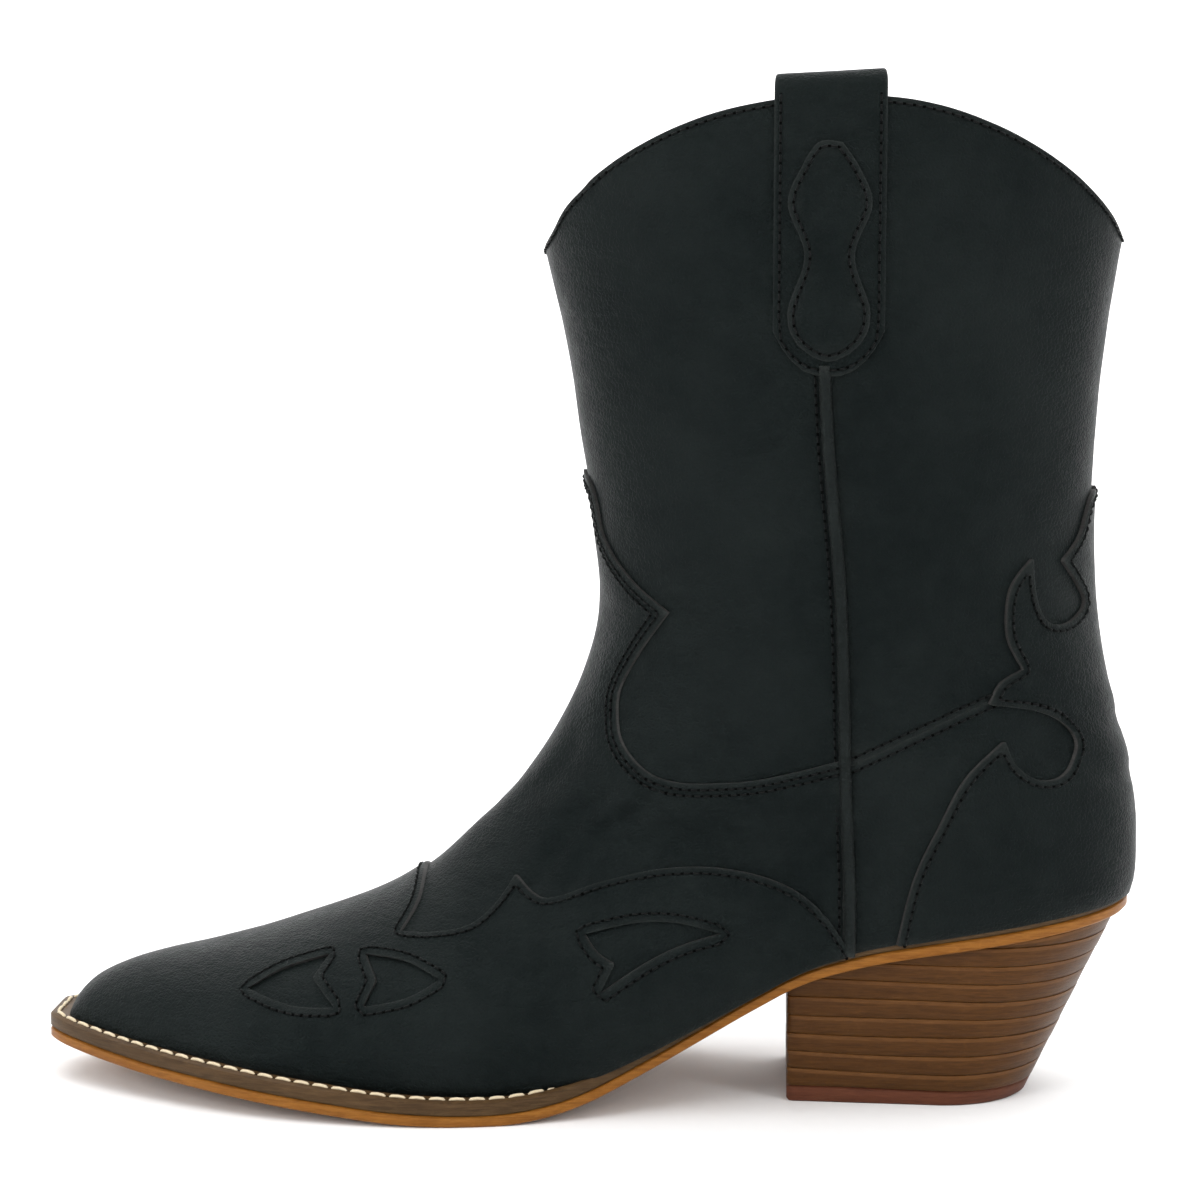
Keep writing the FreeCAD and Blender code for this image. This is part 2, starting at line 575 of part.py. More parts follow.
foot_plan = heel_plan(0.0, "heel_foot_back", "heel_foot_half", "heel_foot_plan")
seat_plan = heel_plan(dim("heel_loft_height"), "heel_seat_back", "heel_seat_half", "heel_seat_plan")
heel_loft = helper("Part::Loft", "heel_loft")
heel_loft.Sections = [foot_plan, seat_plan]
heel_loft.Solid = True
heel_loft.Ruled = True
under_sole = helper("Part::Feature", "under_sole")
seat_line = [(x, z - outsole_low(x) - 0.1) for x, z in FEATHER_LINE if x > 0.0]
under_sole.Shape = region([seat_line], [(145.0, FOOT_LOWEST), (seat_line[0][0], FOOT_LOWEST)])
heel_block = helper("Part::Common", "heel_block")
heel_block.Base = heel_loft
heel_block.Tool = under_sole

nail_tops = [feather_height(x) + 1.6 for x, y in NAILS]
nails = []
drills = []
for number, ((x, y), top) in enumerate(zip(NAILS, nail_tops), start=1):
    for group, name, radius in (
        (nails, f"nail_{number}", "dimensions.nail_radius"),
        (drills, f"nail_hole_{number}", "dimensions.nail_radius + dimensions.nail_clear"),
    ):
        pin = helper("Part::Cylinder", name)
        pin.setExpression("Radius", radius)
        pin.setExpression("Height", "dimensions.nail_length")
        pin.Placement = Placement(Vector(x, axis_y + y, top - dim("nail_length")), Rotation())
        group.append(pin)
heel_nails = helper("Part::Compound", "heel_nails")
heel_nails.Links = nails
drill_set = helper("Part::MultiFuse", "nail_holes")
drill_set.Shapes = drills


def layer(name, low_text, height_text, drill):
    """One horizontal layer of the heel, drilled for the nails where they reach it."""
    slab = helper("Part::Box", f"{name}_slab")
    slab.setExpression("Height", height_text)
    slab.Length = 140.0
    slab.Width = 100.0
    slab.Placement = Placement(Vector(20.0, -50.0, 0.0), Rotation())
    slab.setExpression("Placement.Base.z", low_text)
    cut_layer = helper("Part::Common", f"{name}_blank" if drill else name)
    cut_layer.Base = heel_block
    cut_layer.Tool = slab
    if not drill:
        return
    bored = helper("Part::Cut", name)
    bored.Base = cut_layer
    bored.Tool = drill_set


layer("top_piece", "0 mm", "dimensions.top_piece_thick - dimensions.lift_joint", False)
lowest_nail = min(nail_tops) - dim("nail_length")
layer_names = ["top_piece"]
for number in range(1, LIFT_COUNT + 1):
    low = dim("top_piece_thick") + dim("lift_pitch") * (number - 1)
    last = number == LIFT_COUNT
    low_text = f"dimensions.top_piece_thick + {number - 1} * dimensions.lift_pitch"
    height_text = "3 * dimensions.lift_pitch" if last else "dimensions.lift_pitch - dimensions.lift_joint"
    layer(f"heel_lift_{number}", low_text, height_text, low + dim("lift_pitch") > lowest_nail)
    layer_names.append(f"heel_lift_{number}")

doc.recompute()

# ---------------------------------------------------------------- check and write
NODES = [
    "front_shaft_panel", "back_shaft_panel", "vamp", "lower_quarter_lateral", "lower_quarter_medial",
    "wing_toe_overlay", "counter_overlay", "side_piping_lateral", "side_piping_medial",
    "pull_strap_lateral",
    "pull_strap_medial", "strap_patch_lateral", "strap_patch_medial", "shaft_lining", "foot_lining",
    "toe_puff",
    "heel_counter_stiffener", "sock_liner", "insole_board", "bottom_filler", "steel_shank", "welt",
    "welt_stitching", "outsole", "heel_nails",
] + layer_names
for made in doc.Objects:
    if "Invalid" in made.State or "Error" in made.State:
        raise RuntimeError(f"{made.Label} failed: {made.State}")
by_label = {made.Label: made for made in doc.Objects}
for node in NODES:
    shape = by_label[node].Shape
    if shape.isNull() or not shape.isValid() or not shape.Solids:
        raise RuntimeError(f"{node} has no valid solid")
os.makedirs("parts", exist_ok=True)
for node in NODES:
    shape = by_label[node].Shape
    shape.exportStep(f"parts/{node}.step")
    box = shape.BoundBox
    print(f"{node:24s} solids {len(shape.Solids):3d} volume {shape.Volume:10.1f}  "
          f"x {box.XMin:7.1f} {box.XMax:7.1f}  "
          f"y {box.YMin:6.1f} {box.YMax:6.1f}  z {box.ZMin:6.1f} {box.ZMax:6.1f}")
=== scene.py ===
import math

import bpy
import numpy as np
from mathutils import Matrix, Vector
from mathutils.bvhtree import BVHTree
from mathutils.geometry import delaunay_2d_cdt


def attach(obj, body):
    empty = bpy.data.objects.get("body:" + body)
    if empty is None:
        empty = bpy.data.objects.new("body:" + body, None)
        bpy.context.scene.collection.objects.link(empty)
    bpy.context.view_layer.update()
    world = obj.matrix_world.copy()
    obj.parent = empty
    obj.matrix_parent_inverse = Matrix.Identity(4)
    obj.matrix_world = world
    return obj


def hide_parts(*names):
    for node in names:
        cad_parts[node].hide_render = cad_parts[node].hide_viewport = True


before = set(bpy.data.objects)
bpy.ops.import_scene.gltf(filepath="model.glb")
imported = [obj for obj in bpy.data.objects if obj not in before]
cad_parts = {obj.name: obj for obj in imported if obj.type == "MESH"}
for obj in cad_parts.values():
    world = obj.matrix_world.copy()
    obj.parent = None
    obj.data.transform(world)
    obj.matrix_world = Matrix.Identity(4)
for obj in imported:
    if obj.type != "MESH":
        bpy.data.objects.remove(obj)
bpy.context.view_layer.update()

# A black western ankle boot. Lengths are millimetres in the CAD frame, turned to metres when a mesh is made.
# The toe points along -X, the outer side faces -Y, +Z is up, the origin is on the ground.
MM = 0.001
rng = np.random.default_rng(7)

# ---------------------------------------------------------------- the foot's shape
# The same sections as the CAD model: front or top end (x, z), back or bottom end (x, z), half widths (outer,
# inner), place of the widest point along the section, fullness before and after it. The last row ends the toe.
AXIS_Y = 3.2
SECTIONS = np.array([
    (-17.8, 250.0, 137.0, 250.0, 42.0, 42.0, 0.50, 2.20, 2.20),
    (-10.4, 210.0, 129.9, 210.0, 41.0, 41.0, 0.50, 2.20, 2.20),
    (-4.7, 184.0, 126.1, 184.0, 39.5, 39.5, 0.50, 2.15, 2.15),
    (-0.9, 160.0, 124.2, 160.0, 38.0, 38.0, 0.50, 2.10, 2.10),
    (2.5, 138.0, 123.4, 138.0, 36.5, 36.5, 0.50, 2.10, 2.10),
    (2.9, 118.0, 125.1, 117.0, 35.0, 34.5, 0.52, 2.05, 2.10),
    (-1.2, 103.0, 128.8, 99.0, 34.0, 33.0, 0.55, 2.00, 2.10),
    (-8.3, 88.5, 133.1, 83.0, 33.5, 32.5, 0.58, 2.00, 2.20),
    (-15.8, 77.0, 135.1, 66.0, 33.5, 32.0, 0.60, 1.95, 2.30),
    (-21.8, 70.5, 133.0, 49.0, 33.0, 31.5, 0.60, 1.90, 2.40),
    (-27.4, 65.3, 118.8, 38.0, 33.0, 31.0, 0.58, 1.90, 2.60),
    (-33.0, 59.8, 89.9, 30.0, 34.0, 31.5, 0.57, 1.90, 2.80),
    (-39.0, 54.6, 54.8, 17.0, 36.5, 33.0, 0.58, 1.90, 2.80),
    (-46.1, 49.9, 19.2, 3.0, 40.0, 35.0, 0.62, 1.90, 2.80),
    (-54.3, 45.8, -14.8, -2.0, 42.5, 36.5, 0.68, 1.90, 2.80),
    (-63.5, 42.3, -42.1, -2.0, 42.0, 36.0, 0.72, 1.90, 2.80),
    (-73.7, 38.7, -62.5, 0.0, 39.5, 34.0, 0.72, 1.90, 2.80),
    (-85.0, 35.1, -79.9, 2.0, 35.0, 30.5, 0.72, 1.90, 2.80),
    (-96.4, 32.0, -96.4, 4.5, 28.5, 26.0, 0.70, 1.95, 2.80),
    (-107.8, 29.5, -110.9, 6.0, 21.5, 20.5, 0.68, 2.00, 2.60),
    (-117.7, 26.6, -121.3, 7.0, 15.5, 15.0, 0.65, 2.00, 2.50),
    (-125.5, 22.7, -128.1, 8.0, 11.0, 11.0, 0.60, 2.00, 2.40),
    (-130.3, 17.8, -131.3, 9.0, 8.0, 8.0, 0.50, 2.00, 2.20),
    (-131.3, 14.4, -131.8, 11.0, 5.0, 5.0, 0.50, 2.00, 2.20),
])
FEATHER_LINE = [
    (-139.1, 16.6), (-114.2, 13.5), (-87.7, 11.2), (-60.9, 8.7), (-41.3, 6.9), (-22.1, 6.3), (-9.3, 7.4),
    (2.3, 10.4), (15.8, 16.4), (29.4, 23.4), (43.0, 30.8), (53.7, 36.4), (64.5, 40.0), (78.2, 43.0),
    (105.0, 47.0), (126.9, 50.2), (144.6, 52.8),
]
SOLE_OUTER = [
    (-135.9, -8.0), (-130.7, -13.6), (-119.2, -21.6), (-104.7, -30.2), (-88.1, -38.2), (-69.6, -44.2),
    (-49.2, -47.5), (-33.0, -47.6), (-16.8, -45.2), (-1.7, -41.0), (15.2, -36.4), (33.1, -33.2),
    (52.8, -31.6), (77.3, -31.6), (96.7, -30.6), (111.2, -27.4), (122.7, -21.4), (131.3, -12.0),
    (134.7, 0.0),
]
SOLE_INNER = [
    (-135.9, 8.0), (-130.7, 13.4), (-119.2, 20.6), (-104.7, 28.0), (-88.1, 34.8), (-71.7, 39.2),
    (-55.3, 41.3), (-39.0, 41.3), (-21.8, 38.8), (-4.7, 35.4), (15.2, 32.6), (33.1, 31.0), (52.8, 30.4),
    (77.3, 30.6), (96.7, 30.0), (111.2, 27.0), (122.7, 21.2), (131.3, 12.0), (134.7, 0.0),
]
SIDE_SEAM = [
    (56.9, 262.0), (57.3, 200.0), (58.6, 165.0), (62.2, 124.5), (63.8, 80.5), (64.9, 44.0), (61.3, 10.0),
]
RIM_LINE = [
    (-26.9, 190.0), (-9.5, 209.5), (-2.8, 218.8), (9.0, 228.6), (25.7, 236.8), (44.0, 241.4),
    (63.7, 242.6), (81.2, 241.0), (98.3, 235.4), (113.1, 227.2), (123.6, 218.4), (130.8, 209.5),
    (145.6, 190.0),
]
TONGUE_EDGE = [
    [(-12.8, 160.0), (1.1, 152.0), (5.5, 138.0), (12.6, 128.6), (21.7, 121.5)],
    [
        (21.7, 121.5), (14.6, 111.0), (9.4, 100.0), (10.6, 88.6), (20.2, 81.0), (37.7, 81.2), (51.8, 84.2),
        (68.6, 89.2),
    ],
]
QUARTER_SEAM = [
    (60.7, 83.8), (80.3, 93.4), (97.6, 101.2), (115.9, 107.0), (149.4, 112.0),
]
COUNTER_EDGE = [
    [(75.2, 38.0), (79.8, 58.0), (85.7, 71.5), (91.9, 83.2), (101.0, 92.0)],
    [
        (101.0, 92.0), (103.8, 86.0), (109.2, 82.4), (115.0, 82.8), (118.6, 88.0), (116.4, 94.4),
        (108.8, 98.6), (97.1, 100.7),
    ],
    [(97.1, 100.7), (99.8, 105.8), (105.2, 108.8)],
    [(105.2, 108.8), (101.2, 117.0), (101.8, 128.0), (107.1, 135.3)],
    [
        (107.1, 135.3), (108.1, 126.0), (111.0, 119.8), (116.5, 119.0), (120.8, 123.0), (118.3, 128.6),
        (114.5, 134.0),
    ],
    [(114.5, 134.0), (119.1, 139.6), (122.8, 149.4), (131.3, 154.0), (149.4, 155.0)],
]
WING_EDGE = [
    [(-40.1, 58.0), (-40.0, 49.0), (-43.8, 41.8)],
    [(-43.8, 41.8), (-35.7, 42.4), (-26.1, 44.8), (-19.8, 50.0), (-15.4, 56.1)],
    [
        (-15.4, 56.1), (-11.1, 52.6), (-6.4, 51.8), (6.6, 56.2), (20.6, 59.6), (34.7, 60.3), (48.8, 57.2),
        (58.7, 50.2), (66.6, 38.0),
    ],
]
EYE_FRONT = [
    [(-81.5, 27.5), (-72.6, 32.2), (-61.3, 35.8)],
    [(-61.3, 35.8), (-64.9, 31.1)],
    [(-64.9, 31.1), (-58.7, 25.8)],
    [(-58.7, 25.8), (-69.5, 25.4), (-81.5, 27.5)],
]
EYE_REAR = [
    [(-52.0, 36.7), (-41.8, 36.2), (-32.9, 33.0)],
    [(-32.9, 33.0), (-41.0, 28.8), (-51.6, 26.3)],
    [(-51.6, 26.3), (-48.7, 32.0)],
    [(-48.7, 32.0), (-52.0, 36.7)],
]
FIN_WINDOW = [
    [(1.9, 44.2), (14.2, 47.2), (24.2, 47.4), (34.4, 45.2)],
    [(34.4, 45.2), (25.0, 42.3), (16.2, 38.0), (5.5, 31.0)],
    [(5.5, 31.0), (9.1, 37.8)],
    [(9.1, 37.8), (5.0, 40.2), (1.9, 44.2)],
]
PATCH_HALF = [
    (2.6, 232.0), (6.6, 226.0), (9.4, 217.8), (5.6, 206.2), (9.2, 193.5), (7.0, 186.0), (0.0, 182.0),
]

# Layers, as distances from the upper's surface.
BASE_LOW, BASE_HIGH = -1.5, 0.0
OVER_LOW, OVER_HIGH = 0.05, 1.2
PATCH_LOW, PATCH_HIGH = 1.25, 2.3
LINING_LOW = -2.6
LINING_PANEL_LOW, LINING_PANEL_HIGH = -2.5, -1.55
STRAP_FRONT, STRAP_BACK = 45.9, 71.4
STRAP_MID = (STRAP_FRONT + STRAP_BACK) / 2
GRID_STEP = 2.3            # spacing of a panel's inner mesh points
PLATE_STEP = 4.0           # the same for the layers of the bottom
EDGE_STEP = 1.1            # spacing of points along a panel's edge
EDGE_ROUND = 0.35
FOOT_STEP = 1.9            # finer spacing, where the foot bends most
ROW_STEP = 0.7             # spacing of points along a stitch row


# ---------------------------------------------------------------- the surface
def catmull(rows, place):
    """Values on a smooth curve through the rows (Catmull-Rom), at fractional row numbers."""
    rows = np.asarray(rows, float)
    last = len(rows) - 1
    i = np.clip(place.astype(int), 0, last - 1)
    f = (place - i)[:, None]
    a, b, c, d = (rows[np.clip(i + k, 0, last)] for k in (-1, 0, 1, 2))
    square, cube = 2 * a - 5 * b + 4 * c - d, 3 * b - a - 3 * c + d
    return 0.5 * (2 * b + (c - a) * f + square * f ** 2 + cube * f ** 3)


def surface(s, turn, grow):
    """Points of the upper, in mm. s is the section number. turn is 0 at the front ridge, positive on the
    outer side, negative on the inner side, and half a turn at the back or bottom."""
    s, turn, grow = np.broadcast_arrays(*(np.asarray(value, float) for value in (s, turn, grow)))
    fx, fz, bx, bz, outer, inner, widest, full_front, full_back = catmull(SECTIONS, s).T
    length = np.hypot(bx - fx, bz - fz)
    ux, uz = (bx - fx) / length, (bz - fz) / length
    wrapped = (turn + math.pi) % (2 * math.pi) - math.pi
    on_outer = wrapped >= 0
    angle = np.abs(wrapped)
    front = angle <= math.pi / 2
    power = 2 / np.where(front, full_front, full_back)
    half_width = np.where(on_outer, outer, inner) + grow
    across = half_width * np.abs(np.sin(angle)) ** power
    reach = np.abs(np.cos(angle)) ** power
    grown = length + 2 * grow
    widest_at = widest * grown
    along = np.where(front, widest_at * (1 - reach), widest_at + (grown - widest_at) * reach) - grow
    return np.stack([fx + ux * along, AXIS_Y + np.where(on_outer, -across, across), fz + uz * along], axis=-1)


def bare(path):
    """Points of the upper under a (s, turn) path."""
    return surface(path[:, 0], path[:, 1], 0.0)


def normals(s, turn, grow):
    """Outward unit normals of the upper."""
    ds, dt = 0.02, 0.01
    s = np.clip(s, ds, len(SECTIONS) - 1 - ds)
    down = surface(s + ds, turn, grow) - surface(s - ds, turn, grow)
    round_ = surface(s, turn + dt, grow) - surface(s, turn - dt, grow)
    n = np.cross(down, round_)
    return n / np.maximum(np.linalg.norm(n, axis=-1, keepdims=True), 1e-9)


# Bending folds in side view: start, end, depth, half width. First those over the instep, then behind the
# ankle, then on the front of the leg.
FOLDS = [
    ((-17.0, 51.0), (10.0, 79.0), 0.95, 2.6),
    ((-7.0, 50.0), (18.0, 80.0), 0.70, 2.2),
    ((5.0, 66.0), (26.0, 84.0), 0.55, 2.0),
    ((-19.0, 66.0), (2.0, 92.0), 0.50, 2.2),
    ((3.0, 93.0), (24.0, 104.0), 0.30, 2.4),
    ((106.0, 98.0), (136.0, 92.0), 0.65, 2.2),
    ((110.0, 88.0), (137.0, 80.0), 0.75, 2.4),
    ((104.0, 76.0), (133.0, 70.0), 0.40, 2.2),
    ((-13.0, 222.0), (18.0, 219.0), 0.40, 1.8),
    ((-9.0, 206.0), (26.0, 202.0), 0.36, 2.0),
    ((-7.0, 192.0), (20.0, 190.0), 0.34, 1.8),
    ((-4.0, 176.0), (18.0, 174.0), 0.28, 2.0),
]


def relief(points):
    """Height of the folds and of the slight unevenness of the leather, at points of the skin."""
    x, y, z = points[..., 0], points[..., 1], points[..., 2]
    out = 0.14 * np.sin(x / 12.0 + 1.3 * np.sin(z / 17.0)) * np.sin(z / 14.0 + y / 18.0 + 0.7)
    out += 0.05 * np.sin(x / 4.1 + z / 6.3) * np.sin(z / 5.2 - y / 7.0 + 1.9)
    for (x0, z0), (x1, z1), depth, half in FOLDS:
        length = math.hypot(x1 - x0, z1 - z0)
        ux, uz = (x1 - x0) / length, (z1 - z0) / length
        along = ((x - x0) * ux + (z - z0) * uz) / length
        off = (x - x0) * -uz + (z - z0) * ux + 1.2 * np.sin(along * 7.0 + depth * 20.0)
        fade = np.clip(along * (1 - along) * 4, 0, 1)
        ridge = 0.55 * np.exp(-((off - 1.7 * half) / (1.2 * half)) ** 2)
        out += fade * depth * (ridge - np.exp(-(off / half) ** 2))
    return out


def skin(s, turn, height):
    """Points of the finished upper at a height over its surface, with folds and unevenness."""
    points = surface(s, turn, height)
    return points + normals(s, turn, 0.0) * relief(surface(s, turn, 0.0))[..., None]


# The outer half of the surface as a mesh, to find the (s, turn) of a point given in side view.
GRID_S = np.linspace(0, len(SECTIONS) - 1.001, 240)
GRID_T = np.linspace(0, math.pi, 150)
grid_ss, grid_tt = (m.ravel() for m in np.meshgrid(GRID_S, GRID_T, indexing="ij"))
grid_points = surface(grid_ss, grid_tt, 0.0)
wide = len(GRID_T)
cells = [(i * wide + j, i * wide + j + 1, (i + 1) * wide + j + 1, (i + 1) * wide + j)
         for i in range(len(GRID_S) - 1) for j in range(wide - 1)]
side_tree = BVHTree.FromPolygons([Vector(p) for p in grid_points], cells)


def locate(points):
    """(s, turn) on the outer side for side-view points; points off the boot go to its nearest outline."""
    out = []
    rim = np.concatenate([np.arange(len(GRID_S)) * wide, np.arange(len(GRID_S)) * wide + wide - 1])
    for x, z in points:
        spot, _, face, _ = side_tree.ray_cast(Vector((x, -300.0, z)), Vector((0, 1, 0)))
        if face is None:
            gap = np.hypot(grid_points[rim, 0] - x, grid_points[rim, 2] - z)
            k = rim[int(np.argmin(gap))]
            out.append((grid_ss[k], grid_tt[k]))
            continue
        corners = list(cells[face])
        p = grid_points[corners]
        e1, e2 = (p[3] + p[2] - p[0] - p[1]) / 2, (p[1] + p[2] - p[0] - p[3]) / 2
        offset = np.array(spot) - p.mean(0)
        fs, ft = np.linalg.lstsq(np.stack([e1, e2], axis=1), offset, rcond=None)[0]
        s = grid_ss[corners].mean() + fs * (GRID_S[1] - GRID_S[0])
        turn = grid_tt[corners].mean() + ft * (GRID_T[1] - GRID_T[0])
        out.append((s, min(max(turn, 0.0), math.pi)))
    return np.array(out)


# ---------------------------------------------------------------- paths
def steps_of(path):
    return np.linalg.norm(np.diff(path, axis=0), axis=1)


def run_of(path):
    """Distance along a path at each of its points."""
    return np.concatenate([[0], np.cumsum(steps_of(path))])


def along(path, run, at):
    """The path's values at distances along it."""
    return np.stack([np.interp(at, run, path[:, k]) for k in range(path.shape[1])], axis=-1)


def drawn(points, step=0.8):
    """Side-view curve through points: a straight line for two, otherwise smooth."""
    points = np.asarray(points, float)
    if len(points) == 2:
        count = max(int(np.linalg.norm(points[1] - points[0]) / step), 2)
        return points[0] + (points[1] - points[0]) * np.linspace(0, 1, count)[:, None]
    dense = catmull(points, np.linspace(0, len(points) - 1.0001, 40 * len(points)))
    return spaced(np.vstack([dense, points[-1:]]), step)


def spaced(path, step, closed=False):
    """The path's points moved to an even spacing."""
    path = np.asarray(path, float)
    if closed:
        path = np.vstack([path, path[:1]])
    run = run_of(path)
    count = max(int(round(run[-1] / step)), 2)
    even = along(path, run, np.linspace(0, run[-1], count + 1))
    return even[:-1] if closed else even


def chain(runs):
    """Side-view runs joined into one line, with no repeated points."""
    line = np.vstack([drawn(run) for run in runs])
    return line[np.concatenate([[True], steps_of(line) > 1e-6])]


def crossing(a, b):
    """Index along line a, index along line b and point of their first crossing."""
    for i in range(len(a) - 1):
        p, r = a[i], a[i + 1] - a[i]
        q, s = b[:-1], np.diff(b, axis=0)
        det = r[0] * s[:, 1] - r[1] * s[:, 0]
        det = np.where(np.abs(det) < 1e-12, 1e-12, det)
        t = ((q[:, 0] - p[0]) * s[:, 1] - (q[:, 1] - p[1]) * s[:, 0]) / det
        u = ((q[:, 0] - p[0]) * r[1] - (q[:, 1] - p[1]) * r[0]) / det
        hits = np.nonzero((t >= 0) & (t <= 1) & (u >= 0) & (u <= 1))[0]
        if len(hits):
            j = int(hits[0])
            return i, j, p + r * t[j]
    raise ValueError("the lines don't cross")


def upto(line, other):
    """The line from its start to where it meets the other line."""
    i, _, point = crossing(line, other)
    return np.vstack([line[:i + 1], [point]])


def after(line, other):
    """The line from where it meets the other line to its end."""
    i, _, point = crossing(line, other)
    return np.vstack([[point], line[i + 1:]])


def on_surface(line, step=EDGE_STEP):
    """(s, turn) path of a side-view line on the outer side, evenly spaced over the surface."""
    path = locate(line)
    run = run_of(bare(path))
    keep = np.concatenate([[True], np.diff(run) > 1e-5])
    run, path = run[keep], path[keep]
    count = max(int(round(run[-1] / step)), 1)
    return along(path, run, np.linspace(0, run[-1], count + 1))


def both_sides(path, about=0.0):
    """Closed loop of a path that starts and ends on the ridge or back line, with its mirror image."""
    other = path[::-1].copy()
    other[:, 1] = 2 * about - other[:, 1]
    return np.vstack([path, other[1:-1]])


def stepped(path, distance, closed=True):
    """The (s, turn) path moved sideways over the surface by a distance in mm; positive is to its left as seen
    from outside."""
    s, turn = path[:, 0], path[:, 1]
    here = surface(s, turn, 0.0)
    if closed:
        ahead, behind = np.roll(here, -1, axis=0), np.roll(here, 1, axis=0)
    else:
        ahead = np.vstack([here[1:], 2 * here[-1] - here[-2]])
        behind = np.vstack([2 * here[0] - here[1], here[:-1]])
    tangent = ahead - behind
    tangent /= np.maximum(np.linalg.norm(tangent, axis=1, keepdims=True), 1e-9)
    shift = np.cross(normals(s, turn, 0.0), tangent) * distance
    ds, dt = 0.02, 0.01
    s_mid = np.clip(s, ds, len(SECTIONS) - 1 - ds)
    along_s = (surface(s_mid + ds, turn, 0.0) - surface(s_mid - ds, turn, 0.0)) / (2 * ds)
    along_t = (surface(s, turn + dt, 0.0) - surface(s, turn - dt, 0.0)) / (2 * dt)
    a11, a12, a22 = (along_s ** 2).sum(1), (along_s * along_t).sum(1), (along_t ** 2).sum(1)
    b1, b2 = (along_s * shift).sum(1), (along_t * shift).sum(1)
    det = np.maximum(a11 * a22 - a12 ** 2, 1e-9)
    moved = np.stack([s + (a22 * b1 - a12 * b2) / det, turn + (a11 * b2 - a12 * b1) / det], axis=1)
    moved[:, 0] = np.clip(moved[:, 0], 0.0, len(SECTIONS) - 1.001)
    return moved


SCALE_S, SCALE_T = 11.0, 30.0   # rough mm for one section and one radian, so that triangles come out even


def flat(path):
    return path * np.array([SCALE_S, SCALE_T])


def area(ring):
    """Twice the area of a plan ring; positive when it runs anticlockwise."""
    q = np.roll(ring, -1, axis=0)
    return float((ring[:, 0] * q[:, 1] - q[:, 0] * ring[:, 1]).sum())


def winding(loop):
    return area(flat(loop))


def inside(points, loop):
    """Whether flat points are inside a closed flat loop."""
    x, y = points[:, 0][:, None], points[:, 1][:, None]
    x0, y0 = loop[:, 0], loop[:, 1]
    x1, y1 = np.roll(x0, -1), np.roll(y0, -1)
    spans = (y0 > y) != (y1 > y)
    slope = (x1 - x0) / np.where(np.abs(y1 - y0) < 1e-12, 1e-12, y1 - y0)
    return (np.where(spans, x < x0 + slope * (y - y0), False).sum(axis=1) % 2).astype(bool)


def triangulated(rings, core):
    """Points and triangles of a flat region: an outer ring, its holes' rings and the points between."""
    edges, start = [], 0
    for ring in rings:
        n = len(ring)
        edges += [(start + k, start + (k + 1) % n) for k in range(n)]
        start += n
    verts = [Vector(p) for p in np.vstack(rings + [core])]
    out_verts, _, out_faces, _, _, _ = delaunay_2d_cdt(verts, edges, [], 0, 1e-5)
    points = np.array([tuple(v) for v in out_verts])
    tris = np.array([f for f in out_faces if len(f) == 3])
    middle = points[tris].mean(axis=1)
    keep = inside(middle, rings[0])
    for hole in rings[1:]:
        keep &= ~inside(middle, hole)
    return points, tris[keep]


def two_faced(tris, turned, count):
    """Faces of a sheet's top, with the marked triangles turned over, and of its bottom."""
    tris = np.where(turned[:, None], tris[:, ::-1], tris).tolist()
    return [tuple(t) for t in tris] + [tuple(count + i for i in reversed(t)) for t in tris]


# ---------------------------------------------------------------- mesh makers
def mesh_object(name, points, faces, material, smooth_angle=40.0):
    """Object from points in mm."""
    mesh = bpy.data.meshes.new(name)
    mesh.from_pydata([tuple(p * MM) for p in np.asarray(points)], [], faces)
    mesh.validate()
    mesh.update()
    mesh.shade_smooth()
    mesh.set_sharp_from_angle(angle=math.radians(smooth_angle))
    made = bpy.data.objects.new(name, mesh)
    bpy.context.scene.collection.objects.link(made)
    mesh.materials.append(material)
    return made


def second_material(made, material, numbers):
    """Gives some faces another material."""
    made.data.materials.append(material)
    for number in numbers:
        made.data.polygons[number].material_index = 1


def finish_piece(made, slot_name, *nodes):
    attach(made, "root")
    if nodes:
        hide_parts(*nodes)
    return made


def inner_points(loop, holes, step):
    """Evenly spread (s, turn) points inside a loop, clear of its edge and its holes."""
    s_low, s_high = loop[:, 0].min(), loop[:, 0].max()
    fine = np.linspace(s_low, s_high, 400)
    lines = [surface(fine, t, 0.0) for t in (0.0, math.pi / 2, math.pi)]
    length = np.max([np.linalg.norm(np.diff(line, axis=0), axis=1) for line in lines], axis=0)
    run = np.concatenate([[0], np.cumsum(length)])
    rows = np.interp(np.arange(step / 2, run[-1], step), run, fine)
    t_low, t_high = loop[:, 1].min(), loop[:, 1].max()
    out = []
    for k, s in enumerate(rows):
        turns = np.linspace(-math.pi, math.pi, 73)
        ring = surface(np.full(73, s), turns, 0.0)
        around = np.linalg.norm(np.diff(ring, axis=0), axis=1).sum()
        count = max(int(around / step), 12)
        gap = 2 * math.pi / count
        turn = np.arange(t_low + gap * (0.25 + 0.5 * (k % 2)), t_high, gap)
        out.append(np.stack([np.full(len(turn), s), turn], axis=1))
    points = np.vstack(out)
    good = inside(flat(points), flat(loop))
    for hole in holes:
        good &= ~inside(flat(points), flat(hole))
    points = points[good]
    where = bare(points)
    for ring in [loop] + holes:
        edge = bare(ring)
        near = np.full(len(where), 1e9)
        for start in range(0, len(edge), 200):
            gaps = np.linalg.norm(where[:, None, :] - edge[None, start:start + 200, :], axis=2)
            near = np.minimum(near, gaps.min(axis=1))
        far = near > step * 0.55
        points, where = points[far], where[far]
    return points


